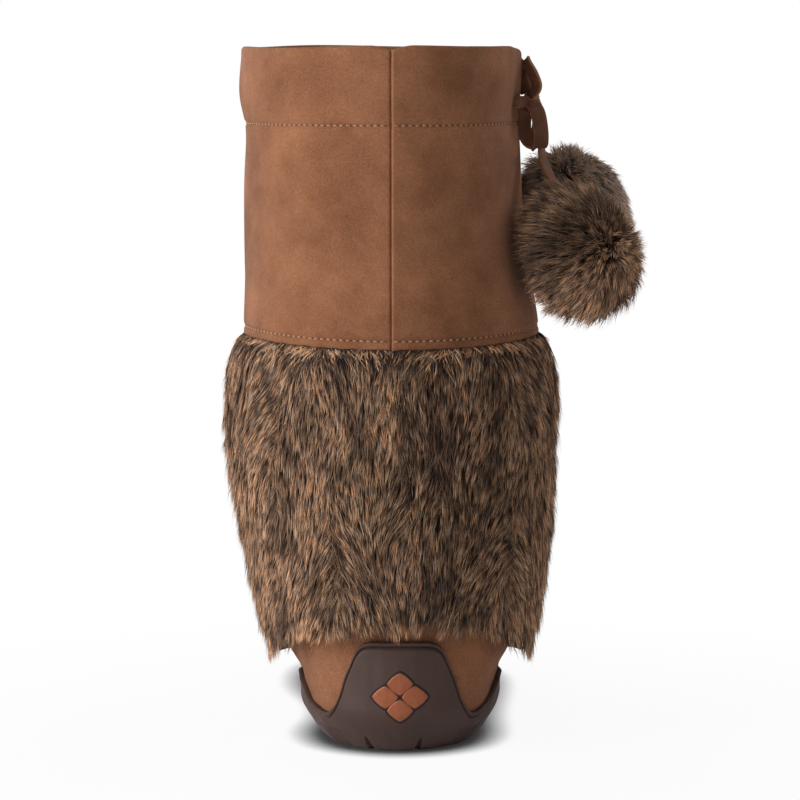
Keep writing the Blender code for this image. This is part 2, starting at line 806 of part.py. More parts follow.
def inlay_places(form):
    """Four small diamonds set as one larger diamond, each square to the shield where it sits: a plate
    and a pocket for each."""
    step_x = (INLAY_WIDTH + INLAY_SPACING) / 2
    step_z = (INLAY_HEIGHT + INLAY_SPACING) / 2
    reach = INLAY_WIDTH / 4
    margin = 2 * INLAY_MARGIN
    deep = INLAY_THICKNESS - INLAY_PROUD + FIT
    made = []
    for across, up in ((0, step_z), (-step_x, 0), (step_x, 0), (0, -step_z)):
        level = sole_ring(form, INLAY_CENTRE + up, FIT + RUBBER)
        back = np.roll(level, COLUMNS_A_SIDE, axis=0)[COLUMNS_A_SIDE - 8 : COLUMNS_A_SIDE + 9]
        left, middle, right = [
            float(np.interp(across + shift, back[:, 0], back[:, 1])) for shift in (-reach, 0, reach)
        ]
        turn = Matrix.Rotation(math.atan2(right - left, 2 * reach), 4, "Z")
        place = Matrix.Translation((across, middle, INLAY_CENTRE + up)) @ turn
        plate = diamond(INLAY_WIDTH, INLAY_HEIGHT, INLAY_THICKNESS)
        inward = Matrix.Translation((0, INLAY_THICKNESS / 2 - INLAY_PROUD, 0))
        bmesh.ops.transform(plate, matrix=place @ inward, verts=plate.verts)
        pocket = diamond(INLAY_WIDTH + margin, INLAY_HEIGHT + margin, deep + CUTTER_REACH)
        inward = Matrix.Translation((0, (deep - CUTTER_REACH) / 2, 0))
        bmesh.ops.transform(pocket, matrix=place @ inward, verts=pocket.verts)
        made.append((plate, pocket))
    return made


def build_inlays(form, where, finish):
    for number, (plate, pocket) in enumerate(inlay_places(form), 1):
        put(plate, f"heel_inlay_{number}", finish, where)
        pocket.free()


def build_insole(form, where, finish):
    """The felt footbed inside the upper, on the cup's floor."""
    inset = WALL + FIT
    low = FLOOR_HEIGHT + FIT
    rings = [
        sole_ring(form, low, -inset),
        sole_ring(form, low + INSOLE_THICKNESS - INSOLE_ROUND, -inset),
        sole_ring(form, low + INSOLE_THICKNESS, -inset - INSOLE_ROUND),
    ]
    made = put(loft(rings, capped=True), "insole", finish, where)
    shade(made)
    return made


def build_fur(where, finish):
    """The fur sleeve: a thick tube hung from the hem, its locks laid in staggered rows."""
    form = survey(fur_ring)
    angles = fur_angles()
    top = HEM_HEIGHT - 2 * FIT
    turn = np.abs((angles + math.pi) % (2 * math.pi) - math.pi) / math.pi
    lower = HEM_HEIGHT * curve(FUR_HEM, "turn", "height", turn)
    side = (1 + np.sin(angles)) / 2

    def tube(down, outset, drop=0.0):
        return on_form(form, top + (lower - top) * down - drop, outset)

    def depth(down):
        inner = curve(FUR_BODY, "down", "inner", down)
        outer = curve(FUR_BODY, "down", "outer", down)
        return FUR_DEPTH * (inner * (1 - side) + outer * side)

    rings = [tube(0.0, FUR_FIT + depth(0.0))]
    step = (1 - FUR_LOCK_START) / FUR_LOCK_ROWS
    shape = zip(*(FUR_LOCK_SHAPE[name] for name in ("along", "stand", "dip", "tail")))
    shape = list(shape)
    for row in range(FUR_LOCK_ROWS):
        ridge = (np.arange(FUR_COLUMNS) + row) % 2
        for along, stand, dip, tail in shape:
            down = FUR_LOCK_START + (row + along) * step
            outset = depth(down) + FUR_LOCK * (stand * ridge - dip)
            rings.append(tube(down, outset, FUR_LOCK_TAIL * tail * ridge))
    rings.append(tube(1.0, FUR_CURL * depth(1.0)))
    rings += [
        tube(down, FUR_FIT + FUR_HANG * smooth(down / FUR_HANG_FULL)) for down in FUR_LINING_RINGS
    ]
    rings.append(tube(0.0, FUR_FIT))
    made = put(loft(rings, wrap=True), "fur_band", finish, where)
    shade(made, 60)
    return made


def smooth_route(points, count):
    """A smooth line through the points of a route."""
    points = np.array(points, float)
    ghosted = np.concatenate([[2 * points[0] - points[1]], points, [2 * points[-1] - points[-2]]])
    at = np.linspace(0, len(points) - 1, count)
    i = np.minimum(at.astype(int), len(points) - 2)
    t = (at - i)[:, None]
    a, b, c, d = (ghosted[i + n] for n in range(4))
    return 0.5 * (
        2 * b + (c - a) * t + (2 * a - 5 * b + 4 * c - d) * t**2 + (3 * b - a - 3 * c + d) * t**3
    )


def strap(route, across, count):
    """A flat lace along a route."""
    line = smooth_route(route, count)
    ahead = np.gradient(line, axis=0)
    ahead /= np.linalg.norm(ahead, axis=1)[:, None]
    share = np.linspace(0, 1, count)[:, None]
    wide = np.array(across[0]) * (1 - share) + np.array(across[1]) * share
    wide -= ahead * (ahead * wide).sum(axis=1)[:, None]
    wide /= np.linalg.norm(wide, axis=1)[:, None]
    thick = np.cross(ahead, wide)
    corners = ((1, 1), (-1, 1), (-1, -1), (1, -1))
    rings = np.stack(
        [line + wide * (LACE_WIDTH / 2 * w) + thick * (LACE_THICKNESS / 2 * t) for w, t in corners],
        axis=1,
    )
    return loft(rings, capped=True)


def casing_point(form, y, height, outset=0.0):
    """A point on the outer side of the drawstring's casing."""
    level = on_form(form, height, HEM_STEP + CASING_PUFF + outset)[: COLUMNS_A_SIDE + 1]
    return Vector((float(np.interp(y, level[:, 1], level[:, 0])), y, height))


def slot_places():
    """Where the two slots for the lace stand in the casing, along the foot."""
    return (LACE_Y - SLOT_SPREAD / 2, LACE_Y + SLOT_SPREAD / 2)


def cut_slots(form, upper, where):
    """Two upright slots in the casing's outer side, which the lace runs into."""
    bm = bmesh.new()
    for y in slot_places():
        place = casing_point(form, y, LACE_HEIGHT + SLOT_RISE)
        size = Matrix.Diagonal((2 * SLOT_DEPTH, SLOT_WIDTH, SLOT_HEIGHT, 1))
        bmesh.ops.create_cube(bm, size=1, matrix=Matrix.Translation(place) @ size)
    boolean(upper, as_cutter(put(bm, "slot_cutter", None, where)))


def knot_place(form):
    return casing_point(form, LACE_Y, LACE_HEIGHT) + Vector((KNOT_SIZE[0] / 2 + 2 * FIT, 0, 0))


def build_drawstring(form, where, tools, finish):
    """The knot with its two runs from the slots, the two loops and the two ends."""
    knot = knot_place(form)
    bm = bmesh.new()
    bmesh.ops.create_cube(bm, size=1, matrix=Matrix.Translation(knot) @ Matrix.Diagonal((*KNOT_SIZE, 1)))
    bmesh.ops.bevel(bm, geom=bm.edges[:], offset=KNOT_ROUND, segments=1, affect="EDGES")
    body = put(bm, "drawstring_knot", finish, where)
    for number, y in enumerate(slot_places(), 1):
        inside = casing_point(form, y, LACE_HEIGHT + SLOT_RISE, -SLOT_DEPTH + 2 * FIT)
        outside = inside + Vector((SLOT_DEPTH + RUN_STAND, 0, 0))
        toward = outside.lerp(knot, 0.35) + Vector((RUN_BOW, 0, RUN_BOW / 3))
        upright = ((0, 0, 1), (0, 0, 1))
        run = put(strap([inside, outside, toward, knot], upright, 10), f"lace_run_{number}", None, tools)
        boolean(body, as_cutter(run), "UNION")
    shade(body)
    for name, run in LACE_RUNS.items():
        route = [knot + Vector(point) for point in run["route"]]
        shade(put(strap(route, run["across"], 2 * len(route) + 1), name, finish, where))


def pompom_place(knot, pompom):
    """The middle of a pompom, below the last point of its lace end."""
    end = knot + Vector(LACE_RUNS[pompom["lace"]]["route"][-1])
    away = POMPOM_RADIUS * POMPOM_STRETCH + pompom["gap"]
    return end + Vector(pompom["hang"]).normalized() * away


def build_pompoms(form, where, finish):
    """Two balls of fur, their locks swept down in staggered rows."""
    rows, columns = POMPOM_LOCK_ROWS, POMPOM_LOCKS_ROUND
    for name, pompom in POMPOMS.items():
        bm = bmesh.new()
        bmesh.ops.create_uvsphere(bm, u_segments=columns, v_segments=rows, radius=POMPOM_RADIUS)
        for vert in bm.verts:
            x, y, z = vert.co
            row = round(rows * math.acos(max(-1, min(1, z / POMPOM_RADIUS))) / math.pi)
            column = round(columns * math.atan2(y, x) / (2 * math.pi))
            ridge = 1 if (row + column) % 2 else -POMPOM_HOLLOW
            ridge *= math.sin(math.pi * row / rows)
            vert.co *= 1 + POMPOM_LOCK * ridge
            vert.co.z -= POMPOM_DROOP * POMPOM_RADIUS * ridge
        place = Matrix.Translation(pompom_place(knot_place(form), pompom))
        shape = Matrix.Rotation(pompom["turn"], 4, "Z") @ Matrix.Diagonal((1, 1, POMPOM_STRETCH, 1))
        bmesh.ops.transform(bm, matrix=place @ shape, verts=bm.verts)
        shade(put(bm, name, finish, where), 60)


def main():
    for old in list(bpy.data.objects):
        bpy.data.objects.remove(old)
    boot = collection("mukluk_boot")
    tools = collection("cutters")
    suede = material("suede", (0.30, 0.135, 0.068), 0.9)
    rubber = material("sole_rubber", (0.070, 0.045, 0.037), 0.55)
    copper = material("copper_inlay", (0.33, 0.105, 0.052), 0.45)
    felt = material("insole_felt", (0.42, 0.36, 0.29), 0.95)
    fur = material("fur", (0.155, 0.095, 0.058), 0.9)
    lace = material("lace_suede", (0.120, 0.050, 0.022), 0.85)
    form = survey(ring)
    build_outsole(form, boot, tools, rubber)
    build_inlays(form, boot, copper)
    build_insole(form, boot, felt)
    upper = build_upper(form, boot, suede)
    cut_slots(form, upper, tools)
    build_fur(boot, fur)
    build_drawstring(form, boot, tools, lace)
    build_pompoms(form, boot, fur)


main()
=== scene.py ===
"""The looks of the mukluk boot: suede, rabbit fur, stitching, lace, felt and moulded rubber.

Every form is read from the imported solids, so a piece sits where its solid does. A place on the boot is
given by its turn about the leg, from the back (0) over the outer side, and by its height. Metres, +Z up.
"""

import math

import bpy
import numpy as np
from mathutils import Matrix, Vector
from mathutils.bvhtree import BVHTree


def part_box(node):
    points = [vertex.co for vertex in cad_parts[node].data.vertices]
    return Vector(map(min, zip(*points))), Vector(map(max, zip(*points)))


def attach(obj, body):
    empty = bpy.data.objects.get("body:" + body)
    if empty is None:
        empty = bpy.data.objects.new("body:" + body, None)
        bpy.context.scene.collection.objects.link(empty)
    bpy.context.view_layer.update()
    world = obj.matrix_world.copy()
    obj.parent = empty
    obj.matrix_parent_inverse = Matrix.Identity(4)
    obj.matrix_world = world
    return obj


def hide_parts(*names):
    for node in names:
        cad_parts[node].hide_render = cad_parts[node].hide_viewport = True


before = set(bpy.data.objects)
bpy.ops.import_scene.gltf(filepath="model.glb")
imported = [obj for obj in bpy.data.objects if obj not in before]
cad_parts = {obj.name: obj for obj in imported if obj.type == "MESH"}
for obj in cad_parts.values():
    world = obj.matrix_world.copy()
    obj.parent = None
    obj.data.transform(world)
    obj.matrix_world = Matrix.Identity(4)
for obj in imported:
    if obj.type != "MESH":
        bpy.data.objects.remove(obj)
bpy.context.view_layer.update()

MM = 0.001
TURN = 2 * math.pi

# The leg's axis, about which turns are counted
LEG_AXIS = np.array([0.0, 0.027])
# The leg's radius at the back, by which widths round it are turned into turns
LEG_RADIUS = 0.066
# How far outside the boot a reading ray starts
REACH = 0.40

# Heights that the solids give
COLLAR_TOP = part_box("upper")[1].z
CUP_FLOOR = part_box("upper")[0].z
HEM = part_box("fur_band")[1].z

# Suede leg panel
CASING_LINE = COLLAR_TOP - 0.032
HEM_LINE = HEM + 0.0034
# The hem lies higher at the boot's sides than at its back
HEM_RISE = 2.4 * MM
HEM_RISE_FADE = 0.024
SEAM_TURN = -0.052
SEAM_GROOVE = 1.0 * MM
SEAM_HALF_WIDTH = 0.45 * MM
SEAM_SHOULDER = 0.55 * MM
SEAM_SHOULDER_WIDTH = 3.2 * MM
COLLAR_DIP = 1.9 * MM
COLLAR_PULL = 3.6 * MM
COLLAR_THICKNESS = 2.7 * MM
COLLAR_FOLD = 4 * MM
COLLAR_ROUND = 1.6 * MM
CASING_STEP = 6 * MM
# How much slimmer the leg is at its inner side, and nearly so the casing at its outer side
LEG_SLIM = 1.3 * MM
# The casing gathers towards the knot
KNOT_TURN = 1.36
GATHER_SPREAD = 0.75
LEG_COLUMN = 1.2 * MM
LEG_ROW = 1.7 * MM
STITCH_GROOVE = 0.75 * MM
STITCH_GROOVE_WIDTH = 0.9 * MM

# Suede foot: it swells over the sole's rim, and starts inside the cup
FOOT_SWELL = 2.0 * MM
SWELL_RISE = 5 * MM
SWELL_TOP = 58 * MM
SWELL_FADE = 26 * MM
FOOT_LOW = 12.8 * MM
FOOT_ROWS = 120
FOOT_COLUMNS = 380

# Fleece lining; its dark brown stands partly for its own colour and partly for the shade inside the leg:
# painted shade
LINING_LOW = 13.5 * MM
LINING_DROP = 29 * MM

# Stitching
STITCH_PITCH = 2.9 * MM
STITCH_LENGTH = 1.9 * MM
THREAD = 0.62 * MM
HOLE_WIDTH = 1.25 * MM
HOLE_HEIGHT = 0.85 * MM

# Fur
FUR_STRAND = 16.5 * MM
FUR_CLUMP = 2.5 * MM
FUR_STRANDS_A_CLUMP = 11
FUR_WIDTH = 0.40 * MM
POMPOM_CLUMP = 2.3 * MM
POMPOM_STRANDS_A_CLUMP = 10
POMPOM_WIDTH = 0.34 * MM
# Places along a strand at which it has points, and the share of strands that lie loose
STRAND_SHARES = (0.0, 0.35, 0.70, 1.0)
LOOSE_SHARE = 0.12
# How deep the body under the fur lies: shares of the sleeve's thickness and of the ball's size
BODY_DEPTH = 0.62
CORE_DEPTH = 0.72
CORE_SIDES = 36

# Lace
LACE_WIDTH = 6.4 * MM
CASING_LACE_WIDTH = 4.6 * MM
LACE_THICKNESS = 1.4 * MM

# Cup sole
SOLE_LENGTH = 0.268
SOLE_BACK = -0.038
SOLE_WALL = 3.6 * MM
SOLE_LEVEL = 0.020
HEEL_TURN = 1.0
HEEL_COLUMN = 0.32 * MM
SOLE_COLUMN = 1.4 * MM
# The ribs lie in the edge, up to this height above the tread
EDGE_HEIGHT = 9.5 * MM
EDGE_ROWS = 15
WALL_ROWS = 27
# How far the sole's face draws in towards its tread: millimetres above the tread, and inwards
BOWL_SHAPE = [(0.0, 13.5), (0.5, 11.6), (1.0, 10.6), (2.0, 9.2), (4.0, 7.4), (6.0, 6.0), (8.0, 4.8),
              (10.0, 3.4), (12.0, 2.2), (14.0, 1.1), (16.0, 0.4), (18.0, 0.0)]
# Its share in front of the heel: the way round from the back where it starts to change, and over how far
BOWL_FRONT = 0.62
BOWL_HEEL = 0.070
BOWL_FADE = 0.050
RIM_ROUND = 1.2 * MM
# Heel shield's top edge: millimetres round from the back, and height
SHIELD_SHAPE = [(0.0, 47.6), (11.2, 47.4), (13.6, 46.7), (15.3, 45.3), (16.7, 42.6), (18.2, 38.8),
                (20.6, 33.0), (23.4, 26.8), (26.1, 21.4), (28.1, 18.4), (30.2, 16.4), (32.5, 15.3),
                (36.0, 15.2), (41.0, 16.3), (47.0, 18.6)]
# Lip of the rim: depth below its top and how far it stands out from the wall, in millimetres
LIP_SHAPE = [(2.8, 0.0), (2.5, -0.08), (2.3, -0.55), (2.1, -0.75), (1.9, -0.55), (1.75, 0.2), (1.4, 0.42),
             (0.9, 0.5), (0.45, 0.35), (0.12, -0.2), (0.0, -0.9), (0.08, -2.0), (0.5, -2.9), (3.0, -3.2)]
TOE_SPRING = 11.0 * MM
TOE_BREAK = 0.675
TOE_CURL = 1.9
ARCH_RISE = 3.0 * MM
# Where the arch starts and ends along the sole, each with the length that it takes
ARCH_BACK = (0.34, 0.11)
ARCH_FRONT = (0.57, 0.12)
TREAD = (0.190, 0.260, 0.585, 0.640, 0.695, 0.750, 0.805, 0.860)
TREAD_GROOVE = 3.4 * MM
TREAD_DEPTH = 3.0 * MM
TREAD_CHEVRON = 10.0 * MM
TREAD_REACH = 0.095
TREAD_ROWS = 300
TREAD_COLUMNS = 31
NOTCHES = (-15.3 * MM, 9.35 * MM)
NOTCH_WIDTH = 2.6 * MM
NOTCH_HEIGHT = 6.2 * MM
NOTCH_DEPTH = 2.6 * MM
# Groups of ribs: the place of the middle from the back (0) to the toe (1), and how many ribs
RIB_GROUPS = ((0.118, 6), (0.94, 4))
RIB_PITCH = 2.7 * MM
RIB_WIDTH = 0.55 * MM
RIB_DEPTH = 0.75 * MM
RIB_LEAN = 0.35
INLAY_CORNER = 1.28
# How far the dark plate round each copper diamond reaches: painted shade of the gap round the inlay
INLAY_GAP_SHADE_MARGIN = 1.0 * MM

# Photograph's view: the camera stands level with the collar, behind the heel
CAMERA_BACK = 1.538
CAMERA_HEIGHT = 0.290
CAMERA_PITCH = math.radians(5.45)
CAMERA_LENS = 166.85


def smooth(x):
    x = np.clip(x, 0.0, 1.0)
    return x * x * (3 - 2 * x)


def bump(x, width):
    """A soft bump, 1 at 0, that fades over a width."""
    return np.exp(-((x / width) ** 2))


def turn_from(turn, middle):
    """How far a turn is from another, the short way round."""
    return (turn - middle + math.pi) % TURN - math.pi


def spot(turn, height, middle, level, wide, tall):
    """How near turns and heights lie to a place: 1 at its middle, and fading over its half widths."""
    return bump(turn_from(turn, middle), wide) * bump(height - level, tall)


def relief_of(places, turn, height):
    """How far the suede stands out at soft creases: turn and height of each one's middle, half width
    along each, and how far it stands out, in millimetres."""
    out = np.zeros(np.broadcast(turn, height).shape)
    for middle, level, wide, tall, stand in places:
        out = out + stand * MM * spot(turn, height, middle, level, wide, tall)
    return out


def even_turns(count):
    """Even turns, once round."""
    return np.linspace(0, TURN, count + 1)[:-1]


def directions(polar, about):
    """Unit vectors by their angle from straight up and their angle about the upright."""
    polar, about = np.broadcast_arrays(polar, about)
    return np.stack([np.sin(polar) * np.cos(about), np.sin(polar) * np.sin(about), np.cos(polar)], axis=-1)


def towards(vectors, way, start=0.35, fade=0.6):
    """How far unit vectors point a way, from 0 to 1."""
    return smooth((vectors @ normalised(np.array(way)) - start) / fade)


def run_lengths(points):
    """The length of the way along points, from the first to each."""
    step = np.linalg.norm(np.diff(points, axis=0), axis=1)
    return np.concatenate([[0], np.cumsum(step)])


def tree_of(name):
    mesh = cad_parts[name].data
    corners = [v.co for v in mesh.vertices]
    return BVHTree.FromPolygons(corners, [p.vertices for p in mesh.polygons])


def outward(turn):
    return np.stack([np.sin(turn), -np.cos(turn)], axis=-1)


def read_skin(name, low, high, rows, columns, inside=False, blur=2):
    """A solid's outer or inner face as a grid of distances from the leg's axis, with its facets
    smoothed away."""
    tree = tree_of(name)
    heights = np.linspace(low, high, rows)
    turns = even_turns(columns)
    away = outward(turns)
    start = 0.0 if inside else REACH
    way = 1 if inside else -1
    distance = np.full((rows, columns), np.nan)
    for i, height in enumerate(heights):
        for j, (x, y) in enumerate(away):
            origin = (LEG_AXIS[0] + x * start, LEG_AXIS[1] + y * start, height)
            hit = tree.ray_cast(origin, (x * way, y * way, 0))[3]
            if hit is not None and (inside or hit < REACH):
                distance[i, j] = abs(start - hit)
    for i in range(1, rows):
        distance[i] = np.where(np.isnan(distance[i]), distance[i - 1], distance[i])
    for i in range(rows - 2, -1, -1):
        distance[i] = np.where(np.isnan(distance[i]), distance[i + 1], distance[i])
    for _ in range(blur):
        distance = (np.roll(distance, 1, 1) + 2 * distance + np.roll(distance, -1, 1)) / 4
        padded = np.vstack([distance[:1], distance, distance[-1:]])
        distance = (padded[:-2] + 2 * padded[1:-1] + padded[2:]) / 4
    return {"low": low, "high": high, "distance": distance}


def skin_at(skin, turn, height):
    """A skin's distance from the leg's axis at turns and heights."""
    grid = skin["distance"]
    rows, columns = grid.shape
    turn, height = np.broadcast_arrays(turn, height)
    u = (turn / TURN) % 1.0 * columns
    v = np.clip((height - skin["low"]) / (skin["high"] - skin["low"]), 0, 1) * (rows - 1)
    i = np.minimum(v.astype(int), rows - 2)
    j = u.astype(int) % columns
    s = v - i
    t = u - u.astype(int)
    k = (j + 1) % columns
    low = grid[i, j] * (1 - t) + grid[i, k] * t
    high = grid[i + 1, j] * (1 - t) + grid[i + 1, k] * t
    return low * (1 - s) + high * s


def place(turn, height, distance):
    """Points at turns, heights and distances from the leg's axis."""
    turn, height, distance = np.broadcast_arrays(turn, height, distance)
    across = LEG_AXIS + outward(turn) * distance[..., None]
    rise = HEM_RISE * np.sin(turn) ** 2 * bump(height - HEM, HEM_RISE_FADE)
    return np.concatenate([across, (height + rise)[..., None]], axis=-1)


def node(tree, kind, inputs=None, **values):
    made = tree.nodes.new(kind)
    for name, value in values.items():
        setattr(made, name, value)
    for name, value in (inputs or {}).items():
        made.inputs[name].default_value = value
    return made


def link(tree, start, output, end, socket):
    tree.links.new(start.outputs[output], end.inputs[socket])


def ramp(tree, stops):
    """A colour ramp with stops of (place, colour)."""
    made = tree.nodes.new("ShaderNodeValToRGB")
    elements = made.color_ramp.elements
    while len(elements) < len(stops):
        elements.new(0.5)
    for element, (at, colour) in zip(elements, stops):
        element.position = at
        element.color = (*colour, 1)
    return made


def new_group(name, sockets):
    """A shader node group with its inputs and outputs, and its two end nodes."""
    tree = bpy.data.node_groups.new(name, "ShaderNodeTree")
    for way, title, kind, value in sockets:
        made = tree.interface.new_socket(title, in_out=way, socket_type="NodeSocket" + kind)
        if value is not None:
            made.default_value = value
    return tree, tree.nodes.new("NodeGroupInput"), tree.nodes.new("NodeGroupOutput")


def mottle_group():
    """Soft uneven colour: two colours mixed in blotches, and a fine grain."""
    tree, given, out = new_group(
        "Mottle",
        [
            ("INPUT", "Colour", "Color", (0.3, 0.15, 0.08, 1)),
            ("INPUT", "Second Colour", "Color", (0.2, 0.1, 0.05, 1)),
            ("INPUT", "Blotch Scale", "Float", 60.0),
            ("INPUT", "Grain Scale", "Float", 900.0),
            ("INPUT", "Grain Amount", "Float", 0.3),
            ("OUTPUT", "Colour", "Color", None),
            ("OUTPUT", "Grain", "Float", None),
        ],
    )
    where = node(tree, "ShaderNodeTexCoord")
    blotch = node(tree, "ShaderNodeTexNoise", {"Detail": 4.0, "Roughness": 0.6})
    grain = node(tree, "ShaderNodeTexNoise", {"Detail": 3.0, "Roughness": 0.7})
    edge = node(tree, "ShaderNodeMapRange", {"From Min": 0.32, "From Max": 0.70})
    both = node(tree, "ShaderNodeMix", data_type="RGBA")
    lift = node(tree, "ShaderNodeMath", {2: 1.0}, operation="MULTIPLY_ADD")
    centred = node(tree, "ShaderNodeMath", {1: 0.5}, operation="SUBTRACT")
    shade = node(tree, "ShaderNodeVectorMath", operation="SCALE")
    link(tree, where, "Object", blotch, "Vector")
    link(tree, where, "Object", grain, "Vector")
    link(tree, given, "Blotch Scale", blotch, "Scale")
    link(tree, given, "Grain Scale", grain, "Scale")
    first, second, mixed = colour_sockets(both)
    link(tree, blotch, "Fac", edge, "Value")
    link(tree, edge, "Result", both, "Factor")
    tree.links.new(given.outputs["Colour"], first)
    tree.links.new(given.outputs["Second Colour"], second)
    link(tree, grain, "Fac", centred, 0)
    link(tree, centred, 0, lift, 0)
    link(tree, given, "Grain Amount", lift, 1)
    tree.links.new(mixed, shade.inputs[0])
    link(tree, lift, 0, shade, "Scale")
    link(tree, shade, 0, out, "Colour")
    link(tree, grain, "Fac", out, "Grain")
    return tree


def colour_sockets(mix):
    """The colour inputs and output of a Mix node, which share their names with its other kinds."""
    made = [s for s in mix.inputs if s.type == "RGBA"]
    return made[0], made[1], [s for s in mix.outputs if s.type == "RGBA"][0]


def base_material(name, roughness, **sockets):
    made = bpy.data.materials.new(name)
    made.use_nodes = True
    shader = made.node_tree.nodes["Principled BSDF"]
    shader.inputs["Roughness"].default_value = roughness
    for title, value in sockets.items():
        shader.inputs[title.replace("_", " ")].default_value = value
    return made, made.node_tree, shader


def grained(name, group, colour, second, blotch, grain, amount, roughness, depth, **sockets):
    """A material of one mottled colour with a fine grain in its colour and its bump."""
    made, tree, shader = base_material(name, roughness, **sockets)
    mottle = node(tree, "ShaderNodeGroup", node_tree=group)
    values = {
        "Colour": (*colour, 1),
        "Second Colour": (*second, 1),
        "Blotch Scale": blotch,
        "Grain Scale": grain,
        "Grain Amount": amount,
    }
    for title, value in values.items():
        mottle.inputs[title].default_value = value
    relief = node(tree, "ShaderNodeBump", {"Strength": 0.6, "Distance": depth})
    link(tree, mottle, "Colour", shader, "Base Color")
    link(tree, mottle, "Grain", relief, "Height")
    link(tree, relief, "Normal", shader, "Normal")
    return made


def fur_material(name, root, band, tip, grey, mottle_scale):
    """Agouti fur. Each strand's colour attribute holds its tone, how far along it a point is, and how
    shaded it lies."""
    made, tree, shader = base_material(name, 0.75, Specular_IOR_Level=0.25)
    read = node(tree, "ShaderNodeAttribute", attribute_name="strand")
    parts = node(tree, "ShaderNodeSeparateColor")
    light = ramp(tree, [(0.0, root), (0.45, root), (0.64, grey), (0.80, band), (0.95, band), (1.0, grey)])
    dark = ramp(tree, [(0.0, root), (0.50, tip), (0.74, grey), (0.84, grey), (0.96, tip)])
    where = node(tree, "ShaderNodeTexCoord")
    stretch = node(tree, "ShaderNodeMapping", {"Scale": (1.0, 1.0, 0.42)})
    patches = node(tree, "ShaderNodeTexNoise", {"Scale": mottle_scale, "Detail": 3.0, "Roughness": 0.65})
    spread = node(tree, "ShaderNodeMapRange", {"From Min": 0.36, "From Max": 0.64})
    tone = node(tree, "ShaderNodeMath", operation="ADD")
    weighed = node(tree, "ShaderNodeMath", {1: 0.80}, operation="MULTIPLY")
    choice = node(tree, "ShaderNodeMapRange", {"From Min": 0.55, "From Max": 1.05})
    mix = node(tree, "ShaderNodeMix", data_type="RGBA")
    first, second, mixed = colour_sockets(mix)
    shade = node(tree, "ShaderNodeVectorMath", operation="SCALE")
    link(tree, read, "Color", parts, "Color")
    link(tree, parts, "Green", light, "Fac")
    link(tree, parts, "Green", dark, "Fac")
    link(tree, where, "Object", stretch, "Vector")
    link(tree, stretch, "Vector", patches, "Vector")
    link(tree, patches, "Fac", spread, "Value")
    link(tree, spread, "Result", weighed, 0)
    link(tree, weighed, 0, tone, 0)
    link(tree, parts, "Red", tone, 1)
    link(tree, tone, 0, choice, "Value")
    link(tree, choice, "Result", mix, "Factor")
    tree.links.new(dark.outputs["Color"], first)
    tree.links.new(light.outputs["Color"], second)
    hues = node(tree, "ShaderNodeTexNoise", {"Scale": 420.0, "Detail": 1.0})
    hue = ramp(tree, [(0.36, (0.84, 0.90, 0.98)), (0.50, (1.0, 1.0, 1.0)), (0.64, (1.10, 0.97, 0.84))])
    tinted = node(tree, "ShaderNodeVectorMath", operation="MULTIPLY")
    link(tree, stretch, "Vector", hues, "Vector")
    link(tree, hues, "Fac", hue, "Fac")
    tree.links.new(mixed, tinted.inputs[0])
    link(tree, hue, "Color", tinted, 1)
    link(tree, tinted, 0, shade, 0)
    link(tree, parts, "Blue", shade, "Scale")
    link(tree, shade, 0, shader, "Base Color")
    return made


def piece(name, points, faces, materials, stands_for=(), slots_of_faces=None):
    """A mesh that rides on the boot. stands_for names the solids that it takes the place of."""
    mesh = bpy.data.meshes.new(name)
    if isinstance(faces, np.ndarray):
        faces = faces.tolist()
    mesh.from_pydata(np.asarray(points).tolist(), [], faces)
    for finish in materials:
        mesh.materials.append(finish)
    if slots_of_faces is not None:
        mesh.polygons.foreach_set("material_index", np.asarray(slots_of_faces, np.int32))
    mesh.shade_smooth()
    made = bpy.data.objects.new(name, mesh)
    bpy.context.scene.collection.objects.link(made)
    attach(made, "root")
    if stands_for:
        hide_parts(*stands_for)
    return made


def grid_faces(rows, columns, closed=True):
    """Faces of a grid of points whose rows are rings or, where not closed, open lines."""
    i = np.arange(rows - 1)[:, None]
    j = np.arange(columns if closed else columns - 1)[None, :]
    a = i * columns + j
    b = i * columns + (j + 1) % columns
    c = (i + 1) * columns + (j + 1) % columns
    d = (i + 1) * columns + j
    return np.stack([a, b, c, d], axis=-1).reshape(-1, 4)


def leg_turns():
    """The leg panel's columns: even round the leg, and close together at the back seam."""
    count = round(TURN * LEG_RADIUS / LEG_COLUMN)
    even = SEAM_TURN + even_turns(count)
    near = np.array([0.2, 0.45, 0.7, 1.0, 1.4, 1.9, 2.5, 3.2, 4.0, 5.0]) * MM / LEG_RADIUS
    apart = np.abs(turn_from(even, SEAM_TURN)) > 6 * MM / LEG_RADIUS
    turns = np.concatenate([even[apart], SEAM_TURN + near, SEAM_TURN - near, [SEAM_TURN]])
    return np.sort(turns % TURN)


def collar_height(turn):
    """The collar's upper edge, with its dip at the back seam and its slow waves."""
    from_seam = turn_from(turn, SEAM_TURN)
    wave = 0.35 * MM * np.sin(2 * turn + 0.8) + 0.3 * MM * np.sin(5 * turn + 2.0)
    pulled = COLLAR_PULL * bump(turn_from(turn, 1.62), 0.36)
    return COLLAR_TOP - 0.1 * MM + wave - COLLAR_DIP * bump(from_seam, 4.5 * MM / LEG_RADIUS) - pulled
